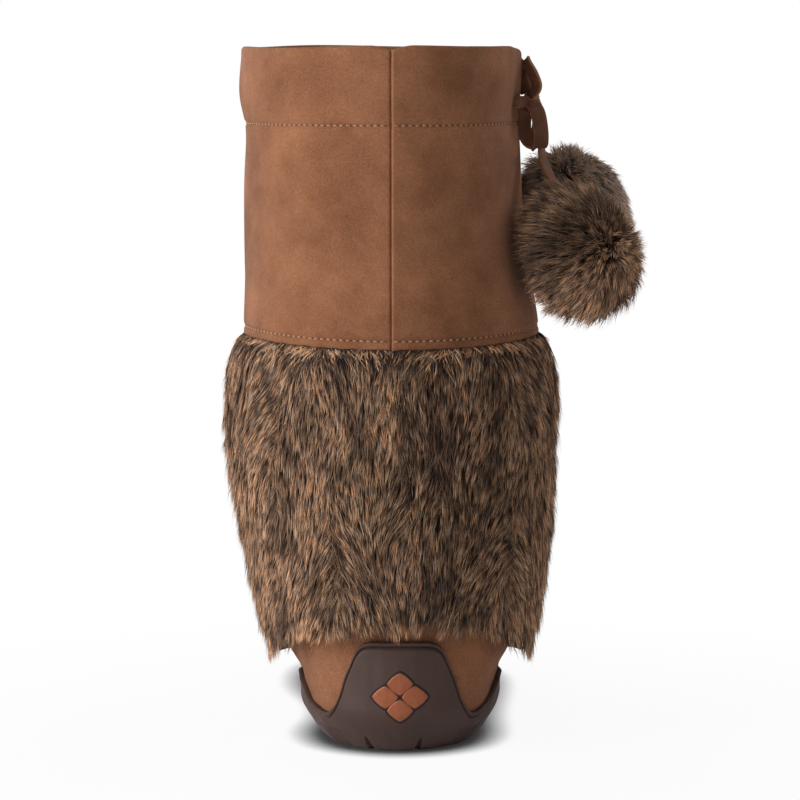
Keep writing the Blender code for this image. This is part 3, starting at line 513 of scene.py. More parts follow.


# Soft creases of the leg panel
LEG_CREASES = [
    (4.75, 0.251, 0.14, 0.012, -0.9),
    (4.70, 0.270, 0.20, 0.010, 0.7),
    (4.85, 0.215, 0.10, 0.040, 0.6),
    (5.25, 0.235, 0.16, 0.030, -0.5),
    (5.70, 0.200, 0.22, 0.022, 0.5),
    (6.10, 0.232, 0.12, 0.026, -0.4),
    (0.45, 0.240, 0.16, 0.020, -0.5),
    (0.70, 0.205, 0.20, 0.030, 0.5),
    (1.10, 0.225, 0.12, 0.034, -0.7),
    (1.35, 0.255, 0.10, 0.018, 0.6),
    (2.20, 0.220, 0.18, 0.034, 0.6),
    (2.75, 0.200, 0.14, 0.030, -0.6),
    (3.30, 0.230, 0.20, 0.026, 0.5),
    (3.90, 0.210, 0.15, 0.034, -0.6),
]


def leg_relief(turn, height):
    """How far the leg panel's suede stands out from its smooth form: creases, gathers of the casing, the
    stitched lines and the back seam."""
    out = relief_of(LEG_CREASES, turn, height)
    near_knot = bump(turn_from(turn, KNOT_TURN), GATHER_SPREAD)
    in_casing = smooth((height - CASING_LINE) / CASING_STEP)
    gathers = np.sin(26 * turn) * 0.32 + np.sin(15 * turn + 1.0) * 0.35
    out = out + MM * gathers * near_knot * in_casing * 0.9
    below = np.clip(CASING_LINE - height, 0, None)
    out = out + MM * 0.35 * gathers * near_knot * (height < CASING_LINE) * np.exp(-below / 0.012)
    out = out - LEG_SLIM * bump(turn_from(turn, -math.pi / 2), 0.9) * smooth((height - HEM) / 0.03)
    out = out - 0.8 * LEG_SLIM * bump(turn_from(turn, math.pi / 2), 0.6) * in_casing
    near_top = np.clip((height - COLLAR_TOP + COLLAR_FOLD) / COLLAR_FOLD, 0, 1)
    out = out - COLLAR_ROUND * near_top**2 * np.abs(np.sin(turn))
    for line in (CASING_LINE, HEM_LINE):
        out = out - STITCH_GROOVE * bump(height - line, STITCH_GROOVE_WIDTH)
    across = turn_from(turn, SEAM_TURN) * LEG_RADIUS
    groove = bump(across, SEAM_HALF_WIDTH)
    right = SEAM_SHOULDER * smooth((across + 0.3 * MM) / (0.8 * MM)) * np.exp(
        -np.clip(across, 0, None) / SEAM_SHOULDER_WIDTH
    )
    left = -0.35 * MM * (across < 0) * np.exp(across / (2.4 * MM))
    return out - SEAM_GROOVE * groove + right + left


def leg_rows(low, high):
    """Heights between two levels, close together where a stitched line runs."""
    rows = list(np.arange(low, high, LEG_ROW))
    for line in (CASING_LINE, HEM_LINE):
        rows = [h for h in rows if abs(h - line) > 2.6 * MM]
        rows += [line + step * MM for step in (-2.4, -1.6, -1.0, -0.5, 0.0, 0.5, 1.0, 1.6, 2.4)]
    return np.array(sorted(h for h in rows if low <= h <= high))


def build_leg(skin, suede, raw_edge):
    """The leg panel with its casing, turned over at the collar and stitched down inside."""
    turns = leg_turns()
    top = collar_height(turns)
    fold = COLLAR_TOP - COLLAR_FOLD
    heights = leg_rows(HEM + 1.0 * MM, fold)
    rings = []
    base = skin_at(skin, turns, HEM + 1.0 * MM) + leg_relief(turns, HEM + 1.0 * MM)
    ragged = 0.12 * MM * np.sin(37 * turns) + 0.10 * MM * np.sin(61 * turns + 1)
    for rise, outset in ((0.5, -2.2), (-0.15, -1.5), (-0.25, -0.7), (-0.1, -0.25), (0.35, 0.0)):
        rings.append(place(turns, HEM + rise * MM + ragged, base + outset * MM))
    for height in heights:
        rings.append(place(turns, height, skin_at(skin, turns, height) + leg_relief(turns, height)))
    edge = skin_at(skin, turns, fold) + leg_relief(turns, fold)
    half = COLLAR_THICKNESS / 2
    for angle in np.linspace(0, math.pi, 9):
        level = top - half * (1 - math.sin(angle)) - 0.4 * MM * math.cos(angle) ** 2
        rings.append(place(turns, level, edge - half * (1 - math.cos(angle))))
    for drop in (2.5, 5, 10, 16, 22, 27, 30.5, 32.5):
        inner = skin_at(skin, turns, COLLAR_TOP - drop * MM) - COLLAR_THICKNESS - 0.3 * MM
        rings.append(place(turns, top - drop * MM, inner + leg_relief(turns, COLLAR_TOP - drop * MM) * 0.5))
    points = np.concatenate(rings)
    faces = grid_faces(len(rings), len(turns))
    slots = np.zeros(len(faces), int)
    slots[: 4 * len(turns)] = 1
    return piece("suede_leg", points, faces, [suede, raw_edge], ["upper"], slots)


def build_foot(skin, suede):
    """The suede foot, from inside the cup sole to under the leg panel's hem."""
    even = even_turns(1440)
    plan = place(even, SOLE_LEVEL, skin_at(skin, even, SOLE_LEVEL))
    length = run_lengths(np.vstack([plan, plan[:1]]))
    at = np.arange(FOOT_COLUMNS) / FOOT_COLUMNS * length[-1]
    turns = np.interp(at, length, np.append(even, TURN))
    low = max(CUP_FLOOR, FOOT_LOW) + toe_lift(np.interp(turns, even, plan[:, 1]))
    rings = []
    for share in np.linspace(0, 1, FOOT_ROWS):
        height = low + (HEM + 1.2 * MM - low) * share
        window = smooth((height - low) / SWELL_RISE) * smooth((SWELL_TOP - height) / SWELL_FADE)
        stand = skin_at(skin, turns, height) + relief_of(FOOT_CREASES, turns, height) + FOOT_SWELL * window
        rings.append(place(turns, height, stand))
    return piece("suede_foot", np.concatenate(rings), grid_faces(FOOT_ROWS, FOOT_COLUMNS), [suede])


# Creases of the suede foot where it bends, and the side seam near the heel
FOOT_CREASES = [
    (5.62, 0.036, 0.035, 0.030, -0.8),
    (5.52, 0.036, 0.05, 0.028, 0.5),
    (0.62, 0.034, 0.05, 0.020, -0.4),
    (2.70, 0.062, 0.10, 0.006, -1.0),
    (3.45, 0.060, 0.12, 0.006, -0.9),
    (3.10, 0.050, 0.25, 0.005, 0.6),
    (3.10, 0.040, 0.30, 0.004, -0.5),
]


def build_lining(skin, fleece):
    """The fleece lining, from the casing's fold down to the footbed."""
    turns = even_turns(180)
    heights = np.linspace(LINING_LOW, COLLAR_TOP - LINING_DROP, 60)
    rings = [place(turns, h, skin_at(skin, turns, h) - 0.25 * MM) for h in heights]
    return piece("fleece_lining", np.concatenate(rings), grid_faces(len(rings), len(turns)), [fleece])


def stitches(name, skin, relief, line, turns, thread):
    """A row of stitches: short threads whose ends dip into the suede."""
    points, faces = [], []
    sides, steps = 6, 5
    for turn in turns:
        bow = np.linspace(-1, 1, steps)
        reach = STITCH_LENGTH / 2 / LEG_RADIUS
        at = turn + bow * reach
        level = np.full(steps, line)
        out = skin_at(skin, at, level) + relief(at, level)
        out = out + 0.30 * MM * (1 - bow**2) - 0.16 * MM
        ring_turn = even_turns(sides)
        thick = THREAD / 2 * np.sqrt(np.clip(1.15 - bow**2, 0.15, 1))
        start = len(points) * steps * sides
        rings = []
        for k in range(steps):
            level_k = line + thick[k] * np.sin(ring_turn) * 1.15
            rings.append(place(at[k], level_k, out[k] + thick[k] * np.cos(ring_turn)))
        points.append(np.concatenate(rings))
        faces.append(grid_faces(steps, sides) + start)
    return piece(name, np.concatenate(points), np.concatenate(faces), [thread])


def stitch_hole_shades(name, skin, relief, line, turns, finish):
    """Dark cones at the needle holes between the stitches of a row: painted shade in holes that dip only
    0.05 mm into the suede.
    """
    sides = 10
    about = even_turns(sides)
    points, faces = [], []
    for number, turn in enumerate(turns):
        wide, tall = HOLE_WIDTH / 2, HOLE_HEIGHT / 2
        at = turn + wide * np.cos(about) / LEG_RADIUS
        level = line + tall * np.sin(about)
        rim = place(at, level, skin_at(skin, at, level) + relief(at, level) + 0.06 * MM)
        floor = place(turn, line, skin_at(skin, turn, line) + relief(turn, line) - 0.05 * MM)
        points.append(np.vstack([rim, floor[None]]))
        start = number * (sides + 1)
        faces += [(start + k, start + (k + 1) % sides, start + sides) for k in range(sides)]
    return piece(name, np.concatenate(points), faces, [finish])


def evenly(skin, line, pitch):
    """Turns at even steps round a line of the boot."""
    even = np.linspace(0, TURN, 721)
    length = run_lengths(place(even, line, skin_at(skin, even, line)))
    count = round(length[-1] / pitch)
    return np.interp((np.arange(count) + 0.5) / count * length[-1], length, even)


def ribbons(name, line, side, width, colours, finish, stands_for=()):
    """Strands of fur as narrow ribbons that taper to a point. line holds each strand's points from root to
    tip, side the way that its width runs, and colours its tone, its shade and how much of its root end
    is missing."""
    count, steps, _ = line.shape
    taper = np.array([1.0, 0.92, 0.62])[: steps - 1]
    shift = side[:, None, :] * (width[:, None] / 2 * taper[None, :])[:, :, None]
    body = line[:, :-1]
    points = np.concatenate([body - shift, body + shift, line[:, -1:]], axis=1)
    each = points.shape[1]
    n = steps - 1
    start = np.arange(count)[:, None] * each
    quads = np.stack([np.array([i, i + n, i + n + 1, i + 1]) for i in range(n - 1)])
    quads = (start[:, :, None] + quads[None]).reshape(-1, 4)
    tips = (start + np.array([n - 1, 2 * n - 1, 2 * n])[None, :]).reshape(-1, 3)
    faces = quads.tolist() + tips.tolist()
    made = piece(name, points.reshape(-1, 3), faces, [finish], stands_for)
    along = np.concatenate([np.linspace(0, 1, steps)[:-1]] * 2 + [[1.0]])
    tone, shade, missing = colours
    values = np.ones((count, each, 4), np.float32)
    values[:, :, 0] = tone[:, None]
    values[:, :, 1] = missing[:, None] + (1 - missing[:, None]) * along[None, :]
    values[:, :, 2] = shade[:, None]
    attribute = made.data.color_attributes.new("strand", "FLOAT_COLOR", "POINT")
    attribute.data.foreach_set("color", values.reshape(-1))
    return made


def normalised(vectors):
    return vectors / np.linalg.norm(vectors, axis=-1, keepdims=True)


def rolled_side(line, out, roll):
    """The way that each ribbon's width runs: across the strand and along the surface, rolled a little."""
    ahead = normalised(line[:, 2] - line[:, 0])
    side = normalised(np.cross(ahead, out))
    lifted = normalised(np.cross(side, ahead))
    return side * np.cos(roll)[:, None] + lifted * np.sin(roll)[:, None]


# Partings and swirls of the fur: turn and height of the middle, half width along each, and how far the
# strands lean away from it on both sides.
PARTINGS = [
    (-0.36, 0.080, 0.13, 0.020, 0.85),
    (0.72, 0.082, 0.13, 0.018, 0.85),
    (0.02, 0.112, 0.07, 0.020, 0.50),
    (-0.78, 0.112, 0.12, 0.018, 0.40),
    (0.20, 0.118, 0.10, 0.022, 0.35),
    (1.60, 0.100, 0.14, 0.022, 0.50),
    (2.60, 0.115, 0.14, 0.020, 0.45),
    (3.40, 0.125, 0.16, 0.018, 0.50),
    (4.30, 0.100, 0.14, 0.022, 0.50),
]


# Broad sweeps of the fur: turn and height of the middle, half width along each, and the lean there
FUR_FLOW = [
    (0.45, 0.105, 0.38, 0.036, -0.50),
    (1.05, 0.148, 0.30, 0.020, 0.55),
    (1.45, 0.100, 0.30, 0.030, 0.20),
    (-0.95, 0.135, 0.30, 0.030, -0.45),
    (-0.45, 0.105, 0.24, 0.030, 0.22),
    (-0.75, 0.070, 0.25, 0.020, -0.30),
    (2.60, 0.120, 0.40, 0.030, 0.40),
    (3.70, 0.110, 0.40, 0.035, -0.40),
    (4.70, 0.120, 0.40, 0.030, 0.30),
]
# Darker and paler places of the fur: partly its own tone, and partly painted shade, such as the broad
# darkening across the back. Turn and height of the middle, half width along each, and how much the fur
# is lightened there.
FUR_TONES_AND_PAINTED_SHADE = [
    (0.15, 0.105, 0.50, 0.09, -0.32),
    (-0.08, 0.135, 0.07, 0.016, 0.55),
    (-0.35, 0.150, 0.30, 0.012, -0.18),
    (0.62, 0.095, 0.16, 0.03, -0.20),
    (-0.75, 0.090, 0.12, 0.03, 0.15),
    (2.6, 0.110, 0.50, 0.04, -0.15),
    (3.7, 0.120, 0.50, 0.04, 0.12),
]


def fur_lean(turn, height):
    """How far the fur leans round the leg from straight down, in radians, and how shaded it lies."""
    lean = 0.16 * np.sin(5 * turn + 60 * height) + 0.14 * np.sin(9 * turn - 95 * height + 1.3)
    lean = lean + 0.10 * np.sin(17 * turn + 130 * height + 0.4)
    for middle, level, wide, tall, amount in FUR_FLOW:
        lean = lean + amount * spot(turn, height, middle, level, wide, tall)
    shade = np.ones_like(lean)
    for middle, level, wide, tall, stand in PARTINGS:
        away = turn_from(turn, middle)
        window = spot(turn, height, middle, level, 2.2 * wide, tall)
        lean = lean + stand * np.tanh(away / (0.35 * wide)) * window
        shade = shade - 0.65 * spot(turn, height, middle, level, 0.35 * wide, tall)
    return lean, shade


def fur_low(turn, low_edge):
    """The height of the fur's lower edge at turns."""
    turns, heights = low_edge
    return np.interp(turn % TURN, turns, heights, period=TURN)


def read_low_edge():
    """The lower edge of the fur solid, round the leg."""
    points = np.array([v.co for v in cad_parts["fur_band"].data.vertices])
    away = points[:, :2] - LEG_AXIS
    turn = np.arctan2(away[:, 0], -away[:, 1]) % TURN
    turns = even_turns(48)
    low = []
    for middle in turns:
        near = np.abs(turn_from(turn, middle)) < TURN / 60
        low.append(points[near, 2].min())
    return turns, np.array(low)


def build_fur(boot, furred, finish, body_finish):
    """The fur sleeve: a body with clumps of strands over it, in pieces round the leg."""
    low_edge = read_low_edge()
    rng = np.random.default_rng(11)
    rows = round((HEM - 0.045) / FUR_CLUMP)
    columns = round(TURN * LEG_RADIUS / FUR_CLUMP)
    v, u = np.meshgrid(np.arange(rows), np.arange(columns), indexing="ij")
    u = (u + 0.5 * (v % 2) + rng.uniform(-0.45, 0.45, u.shape)).ravel()
    v = (v + rng.uniform(-0.45, 0.45, v.shape)).ravel() / (rows - 1)
    turn = (u / columns * TURN) % TURN
    low = fur_low(turn, low_edge) - 1.0 * MM
    tip_height = low + (HEM - 2.6 * MM - low) * np.clip(v, 0, 1)
    order = np.argsort(turn)
    turn, tip_height = turn[order], tip_height[order]
    clump_tone = rng.uniform(0, 1, len(turn))
    clump_shade = rng.uniform(0.80, 1.12, len(turn))
    clump_length = FUR_STRAND * rng.uniform(0.80, 1.22, len(turn))
    clump_twist = rng.normal(0, 0.10, len(turn))
    clump_proud = rng.uniform(-0.6, 1.3, len(turn)) * MM
    each = FUR_STRANDS_A_CLUMP
    count = len(turn) * each
    again = np.repeat(np.arange(len(turn)), each)
    lean, shade = fur_lean(turn[again], tip_height[again] + 0.006)
    lean = lean + clump_twist[again] + rng.normal(0, 0.07, count)
    length = clump_length[again] * rng.uniform(0.75, 1.1, count)
    loose = rng.uniform(0, 1, count) < LOOSE_SHARE
    spread = np.where(loose, 2.0, 0.50) * MM
    tip_turn = turn[again] + rng.normal(0, 1, count) * spread / LEG_RADIUS
    tip_h = tip_height[again] + rng.normal(0, 1, count) * spread * 0.9
    shift = rng.normal(0, 1.25 * MM, count) / LEG_RADIUS
    root_turn = tip_turn - np.sin(lean) * length / LEG_RADIUS + shift
    root_h = np.minimum(tip_h + np.cos(lean) * length, HEM - 0.2 * MM - rng.uniform(0, 1.5, count) * MM)
    tip_h = np.minimum(tip_h, root_h - 3 * MM)
    missing = 1 - np.clip((root_h - tip_h) / (np.cos(lean) * length), 0.2, 1)
    inner = skin_at(boot, root_turn, root_h)
    outer = skin_at(furred, root_turn, root_h)
    root_r = inner + (outer - inner) * rng.uniform(0.45, 0.75, count)
    proud = clump_proud[again] + rng.normal(0, 0.35, count) * MM + np.where(loose, 1.2, 0.0) * MM
    tip_r = skin_at(furred, tip_turn, np.maximum(tip_h, fur_low(tip_turn, low_edge) + 2 * MM)) + proud
    line = []
    for share in STRAND_SHARES:
        sag = share ** 1.15
        rise = 1 - (1 - share) ** 1.7
        at_turn = root_turn + (tip_turn - root_turn) * share
        at_height = root_h + (tip_h - root_h) * sag
        line.append(place(at_turn, at_height, root_r + (tip_r - root_r) * rise))
    line = np.stack(line, axis=1)
    out = np.concatenate([outward(tip_turn), np.zeros((count, 1))], axis=1)
    side = rolled_side(line, out, rng.normal(0, 0.45, count))
    width = FUR_WIDTH * rng.uniform(0.75, 1.25, count)
    tone = np.clip(0.65 * clump_tone[again] + 0.35 * rng.uniform(0, 1, count), 0, 1)
    for middle, level, wide, tall, amount in FUR_TONES_AND_PAINTED_SHADE:
        shade = shade * (1 + amount * spot(turn[again], tip_height[again], middle, level, wide, tall))
    shade = np.clip(shade * clump_shade[again] * rng.uniform(0.80, 1.15, count), 0.2, 1.6)
    parts = 3
    for part in range(parts):
        pick = slice(part * count // parts, (part + 1) * count // parts)
        ribbons(
            f"fur_strands_{part + 1}", line[pick], side[pick], width[pick],
            (tone[pick], shade[pick], missing[pick]), finish, ["fur_band"] if part == 0 else (),
        )
    turns = even_turns(240)
    bottom = fur_low(turns, low_edge) + 5 * MM
    rings = []
    for share in np.linspace(0, 1, 30):
        height = HEM - 0.5 * MM + (bottom - HEM + 0.5 * MM) * share
        near, far = skin_at(boot, turns, height), skin_at(furred, turns, height)
        rings.append(place(turns, height, near + (far - near) * BODY_DEPTH))
    for inset in (0.35, 0.05):
        rings.append(place(turns, bottom + 1 * MM, near + (far - near) * inset))
    piece("fur_body", np.concatenate(rings), grid_faces(len(rings), len(turns)), [body_finish])


def build_pompom(name, node_name, seed, finish, body_finish, swirl):
    """A fur ball: clumps of strands that spring from its middle and sweep over it."""
    low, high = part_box(node_name)
    middle = np.array((low + high) / 2)
    half = np.array((high - low) / 2) * np.array([0.97, 0.97, 0.98])
    rng = np.random.default_rng(seed)
    clumps = round(4 * math.pi * half[0] * half[2] / POMPOM_CLUMP**2)
    k = np.arange(clumps) + 0.5
    polar = np.arccos(1 - 2 * k / clumps)
    about = k * math.pi * (1 + 5**0.5)
    away = directions(polar, about)
    away = normalised(away + rng.normal(0, 0.03, away.shape))
    each = POMPOM_STRANDS_A_CLUMP
    again = np.repeat(np.arange(clumps), each)
    count = len(again)
    sweep = normalised(np.array(swirl["sweep"]))
    drift = sweep[None, :] - away * (away @ sweep)[:, None]
    drift = drift * swirl["amount"] + rng.normal(0, 0.10, away.shape)
    loose = rng.uniform(0, 1, count) < LOOSE_SHARE
    tips = normalised(away[again] + rng.normal(0, 1, (count, 3)) * np.where(loose, 0.07, 0.025)[:, None])
    roots = normalised(tips - drift[again] + rng.normal(0, 0.03, (count, 3)))
    stand = rng.uniform(0.90, 1.05, clumps)[again] * rng.uniform(0.95, 1.04, count) + 0.05 * loose
    stand = stand + 0.05 * np.sin(4 * about[again] + 3 * polar[again])
    for way, amount in swirl["short"]:
        stand = stand * (1 - amount * towards(tips, way))
    depth = rng.uniform(0.50, 0.68, count)
    line = []
    for share in STRAND_SHARES:
        bent = normalised(roots + (tips - roots) * share)
        rise = depth + (stand - depth) * (1 - (1 - share) ** 1.5)
        line.append(middle + bent * rise[:, None] * half)
    line = np.stack(line, axis=1)
    side = rolled_side(line, tips, rng.normal(0, 0.6, count))
    width = POMPOM_WIDTH * rng.uniform(0.7, 1.2, count)
    tone = np.clip(0.5 * rng.uniform(0, 1, clumps)[again] + 0.5 * rng.uniform(0, 1, count), 0, 1)
    shade = rng.uniform(0.8, 1.15, clumps)[again] * rng.uniform(0.85, 1.1, count)
    # Strands that point the dark way are darkened: painted shade on the ball's side towards the leg
    dark = swirl["dark"]
    shade = shade * (1 - dark["amount"] * towards(tips, dark["place"], 0.2, 0.7))
    colours = (tone, np.clip(shade, 0.2, 1.4), np.zeros(count))
    made = ribbons(name, line, side, width, colours, finish, [node_name])
    rings = []
    for polar in np.linspace(0.02, math.pi - 0.02, 22):
        ball = directions(polar, even_turns(CORE_SIDES))
        deep = np.full((CORE_SIDES, 1), CORE_DEPTH)
        for way, amount in swirl["short"]:
            deep = deep * (1 - max(amount, 0) * towards(ball, way))[:, None]
        rings.append(middle + ball * half * deep)
    faces = grid_faces(len(rings), CORE_SIDES)
    core = piece(name + "_core", np.concatenate(rings), faces, [body_finish])
    return [made, core]


def smooth_route(points, count):
    """A smooth line through the points of a route."""
    points = np.array(points, float)
    ghosted = np.concatenate([[2 * points[0] - points[1]], points, [2 * points[-1] - points[-2]]])
    at = np.linspace(0, len(points) - 1, count)
    i = np.minimum(at.astype(int), len(points) - 2)
    t = (at - i)[:, None]
    a, b, c, d = (ghosted[i + n] for n in range(4))
    return 0.5 * (
        2 * b + (c - a) * t + (2 * a - 5 * b + 4 * c - d) * t**2 + (3 * b - a - 3 * c + d) * t**3
    )


def strap(name, route, across, count, finishes, width=LACE_WIDTH, stands_for=(), cup=0.0):
    """A flat suede lace along a route, with soft cut edges. across is the way of its width at its start
    and its end, and cup how far its edges curl."""
    line = smooth_route(route, count)
    ahead = normalised(np.gradient(line, axis=0))
    share = np.linspace(0, 1, count)[:, None]
    wide = np.array(across[0]) * (1 - share) + np.array(across[1]) * share
    wide = wide - ahead * (ahead * wide).sum(axis=1)[:, None]
    wide = normalised(wide)
    thick = np.cross(ahead, wide)
    corner = [(1.0, 0.55), (0.94, 0.92), (0.5, 1.0), (0.0, 1.0), (-0.5, 1.0), (-0.94, 0.92), (-1.0, 0.55)]
    profile = corner + [(-a, -b) for a, b in corner]
    rings = []
    for a, b in profile:
        curl = cup * a * a
        rings.append(line + wide * (width / 2 * a) + thick * (LACE_THICKNESS / 2 * b + curl))
    points = np.stack(rings, axis=1)
    sides = len(profile)
    faces = grid_faces(count, sides).tolist()
    edge = [1 if j in (0, 5, 6, 7, 12, 13) else 0 for j in range(sides)] * (count - 1)
    faces += [list(range(sides))[::-1], [(count - 1) * sides + j for j in range(sides)]]
    edge += [1, 1]
    return piece(name, points.reshape(-1, 3), faces, finishes, stands_for, edge)


# The drawstring's route, as points given from the knot's middle: across, along the foot, and
# up. across is the way of the flat lace's width at the run's start and its end.
LACE_RUNS = {
    "drawstring_loop_up": {
        "across": ((0.55, -0.80, -0.10), (0.70, -0.70, -0.25)),
        "route": [
            (-0.0004, -0.0015, 0.0022), (0.0020, -0.0026, 0.0064), (0.0006, -0.0026, 0.0112),
            (-0.0018, -0.0018, 0.0152), (-0.0034, 0.0004, 0.0166), (-0.0034, 0.0024, 0.0140),
            (-0.0026, 0.0028, 0.0092), (-0.0016, 0.0018, 0.0036),
        ],
    },
    "drawstring_loop_down": {
        "across": ((0.92, 0.28, 0.20), (0.92, 0.28, -0.10)),
        "route": [
            (0.0008, -0.0026, -0.0012), (0.0026, -0.0052, -0.0048), (0.0036, -0.0062, -0.0100),
            (0.0040, -0.0054, -0.0152), (0.0034, -0.0022, -0.0186), (0.0000, 0.0010, -0.0172),
            (-0.0026, 0.0020, -0.0124), (-0.0028, 0.0014, -0.0068), (-0.0016, 0.0000, -0.0022),
        ],
    },
    "drawstring_end_low": {
        "across": ((0.25, 0.90, 0.30), (0.30, 0.95, 0.10)),
        "route": [
            (0.0026, 0.0024, -0.0012), (0.0036, 0.0042, -0.0040), (0.0040, 0.0052, -0.0095),
            (0.0042, 0.0044, -0.0170), (0.0050, 0.0010, -0.0240), (0.0075, -0.0060, -0.0305),
            (0.0115, -0.0115, -0.0355), (0.0165, -0.0150, -0.0400),
        ],
    },
    "drawstring_end_high": {
        "across": ((0.0, 0.15, 1.0), (0.65, 0.51, 0.55)),
        "route": [
            (0.0018, 0.0062, 0.0006), (0.0026, 0.0112, -0.0010), (0.0026, 0.0165, -0.0052),
            (0.0026, 0.0220, -0.0108), (0.0030, 0.0268, -0.0158), (0.0034, 0.0304, -0.0195),
        ],
    },
}
KNOT_WRAPS = [
    {"tilt": 0.30, "lean": 0.10, "size": (2.6, 3.6), "width": 4.8},
    {"tilt": 0.95, "lean": 0.15, "size": (2.9, 4.0), "width": 3.6},
]


def build_drawstring(skin, finishes):
    """The knot, its two runs from the casing, the two loops and the two ends. The low end is long enough
    to be a free cord, with its fur ball as its fitting."""
    low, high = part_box("drawstring_knot")
    knot = np.array([high.x - 0.0035, (low.y + high.y) / 2, (low.z + high.z) / 2 - 0.0003])
    for name, run in LACE_RUNS.items():
        route = [knot + np.array(point) for point in run["route"]]
        count = 6 * len(route) + 1
        made = strap(name + "_lace", route, run["across"], count, finishes, stands_for=[name],
                     cup=0.25 * MM)
    for number, wrap in enumerate(KNOT_WRAPS, 1):
        about = np.linspace(0.3, TURN + 0.1, 9)
        deep, wide = wrap["size"]
        route = []
        for angle in about:
            x, y = deep * math.cos(angle), wide * math.sin(angle)
            point = (x, y * math.cos(wrap["tilt"]), y * math.sin(wrap["tilt"]))
            route.append(knot + np.array(point) * MM)
        across = ((wrap["lean"], -math.sin(wrap["tilt"]), math.cos(wrap["tilt"])),) * 2
        strap(f"knot_wrap_{number}", route, across, 49, finishes, wrap["width"] * MM,
              ["drawstring_knot"] if number == 1 else ())
    for number, shift in enumerate((-0.006, 0.006), 1):
        y = knot[1] + shift
        turn = math.atan2(knot[0] - 0.006 - LEG_AXIS[0], LEG_AXIS[1] - y)
        surface = place(turn, knot[2], skin_at(skin, turn, knot[2]))
        out = np.array([1.0, 0.0, 0.0])
        route = [surface - 2.0 * MM * out, surface + 0.9 * MM * out,
                 (surface + knot) / 2 + 1.4 * MM * out, knot]
        strap(f"lace_run_{number}", route, ((0, 0, 1), (0, 0, 1)), 17, finishes, CASING_LACE_WIDTH)


def plan_normals(rings):
    """The level outward normals of closed rings of points."""
    ahead = np.roll(rings, -1, axis=-2) - np.roll(rings, 1, axis=-2)
    out = np.stack([ahead[..., 1], -ahead[..., 0], np.zeros(ahead.shape[:-1])], axis=-1)
    return normalised(out)


def sole_turns(skin):
    """The cup sole's columns, close together round the heel, where the ribs and notches are."""
    even = np.linspace(-math.pi, math.pi, 2881)
    plan = place(even, SOLE_LEVEL, skin_at(skin, even, SOLE_LEVEL))
    step = np.linalg.norm(np.diff(plan, axis=0), axis=1)
    middle = (even[1:] + even[:-1]) / 2
    wide = np.where(np.abs(middle) < HEEL_TURN, HEEL_COLUMN, SOLE_COLUMN)
    count = np.concatenate([[0], np.cumsum(step / wide)])
    columns = round(count[-1])
    return np.interp(np.arange(columns) / columns * count[-1], count, even)


def read_rim(turns):
    """The height of the solid cup sole's rim at turns, found by halving between two heights."""
    tree = tree_of("outsole")
    found = []
    for x, y in outward(turns):
        low, high = 0.018, 0.052
        while high - low > 0.04 * MM:
            level = (low + high) / 2
            origin = (LEG_AXIS[0] + x * REACH, LEG_AXIS[1] + y * REACH, level)
            hit = tree.ray_cast(origin, (-x, -y, 0), REACH)[3]
            low, high = (level, high) if hit is not None else (low, level)
        found.append(low)
    return np.array(found)


def rounded(turns, skin, values, width):
    """Values round the boot, blurred over a width."""
    plan = place(turns, SOLE_LEVEL, skin_at(skin, turns, SOLE_LEVEL))
    step = np.linalg.norm(np.roll(plan, -1, 0) - plan, axis=1)
    length = np.concatenate([[0], np.cumsum(step)])[:-1]
    whole = step.sum()
    made = []
    for at in length:
        away = np.abs((length - at + whole / 2) % whole - whole / 2)
        weight = step * bump(away, width)
        made.append((weight * values).sum() / weight.sum())
    return np.array(made), length


def toe_lift(y):
    """How far the toe spring lifts the sole."""
    along = (y - SOLE_BACK) / SOLE_LENGTH
    return TOE_SPRING * np.clip((along - TOE_BREAK) / (1 - TOE_BREAK), 0, None) ** TOE_CURL


def sole_bottom(y):
    """The height of the tread's face along the sole, with its arch and toe spring."""
    along = (y - SOLE_BACK) / SOLE_LENGTH
    arch = smooth((along - ARCH_BACK[0]) / ARCH_BACK[1]) * smooth((ARCH_FRONT[0] - along) / ARCH_FRONT[1])
    return ARCH_RISE * arch + toe_lift(y)


def tread_depth(x, y):
    """How deep the chevron grooves of the tread are at places on the sole."""
    deep = np.zeros(np.broadcast(x, y).shape)
    for share in TREAD:
        middle = share * SOLE_LENGTH + SOLE_BACK
        bend = TREAD_CHEVRON * (1 if share > 0.5 else -1)
        line = middle + bend * (0.4 - 1.4 * np.abs(x) / TREAD_REACH)
        inside = smooth((TREAD_GROOVE / 2 + 0.25 * MM - np.abs(y - line)) / (0.5 * MM))
        deep = np.maximum(deep, TREAD_DEPTH * inside)
    return deep


def sole_profile():
    """Rows of the cup sole from the tread up over the rim and down inside it: the share of the way from
    the bottom to the edge's top, then from there to the lip, then the height against the rim, each with
    how far the row lies outside the foot, before the bowl draws it in."""
    rows = [("edge", share**1.5, SOLE_WALL) for share in np.linspace(0, 1, EDGE_ROWS)]
    rows += [("wall", share, SOLE_WALL) for share in np.linspace(0, 1, WALL_ROWS)[1:]]
    for below, out in LIP_SHAPE:
        rows.append(("rim", -below * MM, SOLE_WALL + out * MM))
    return rows


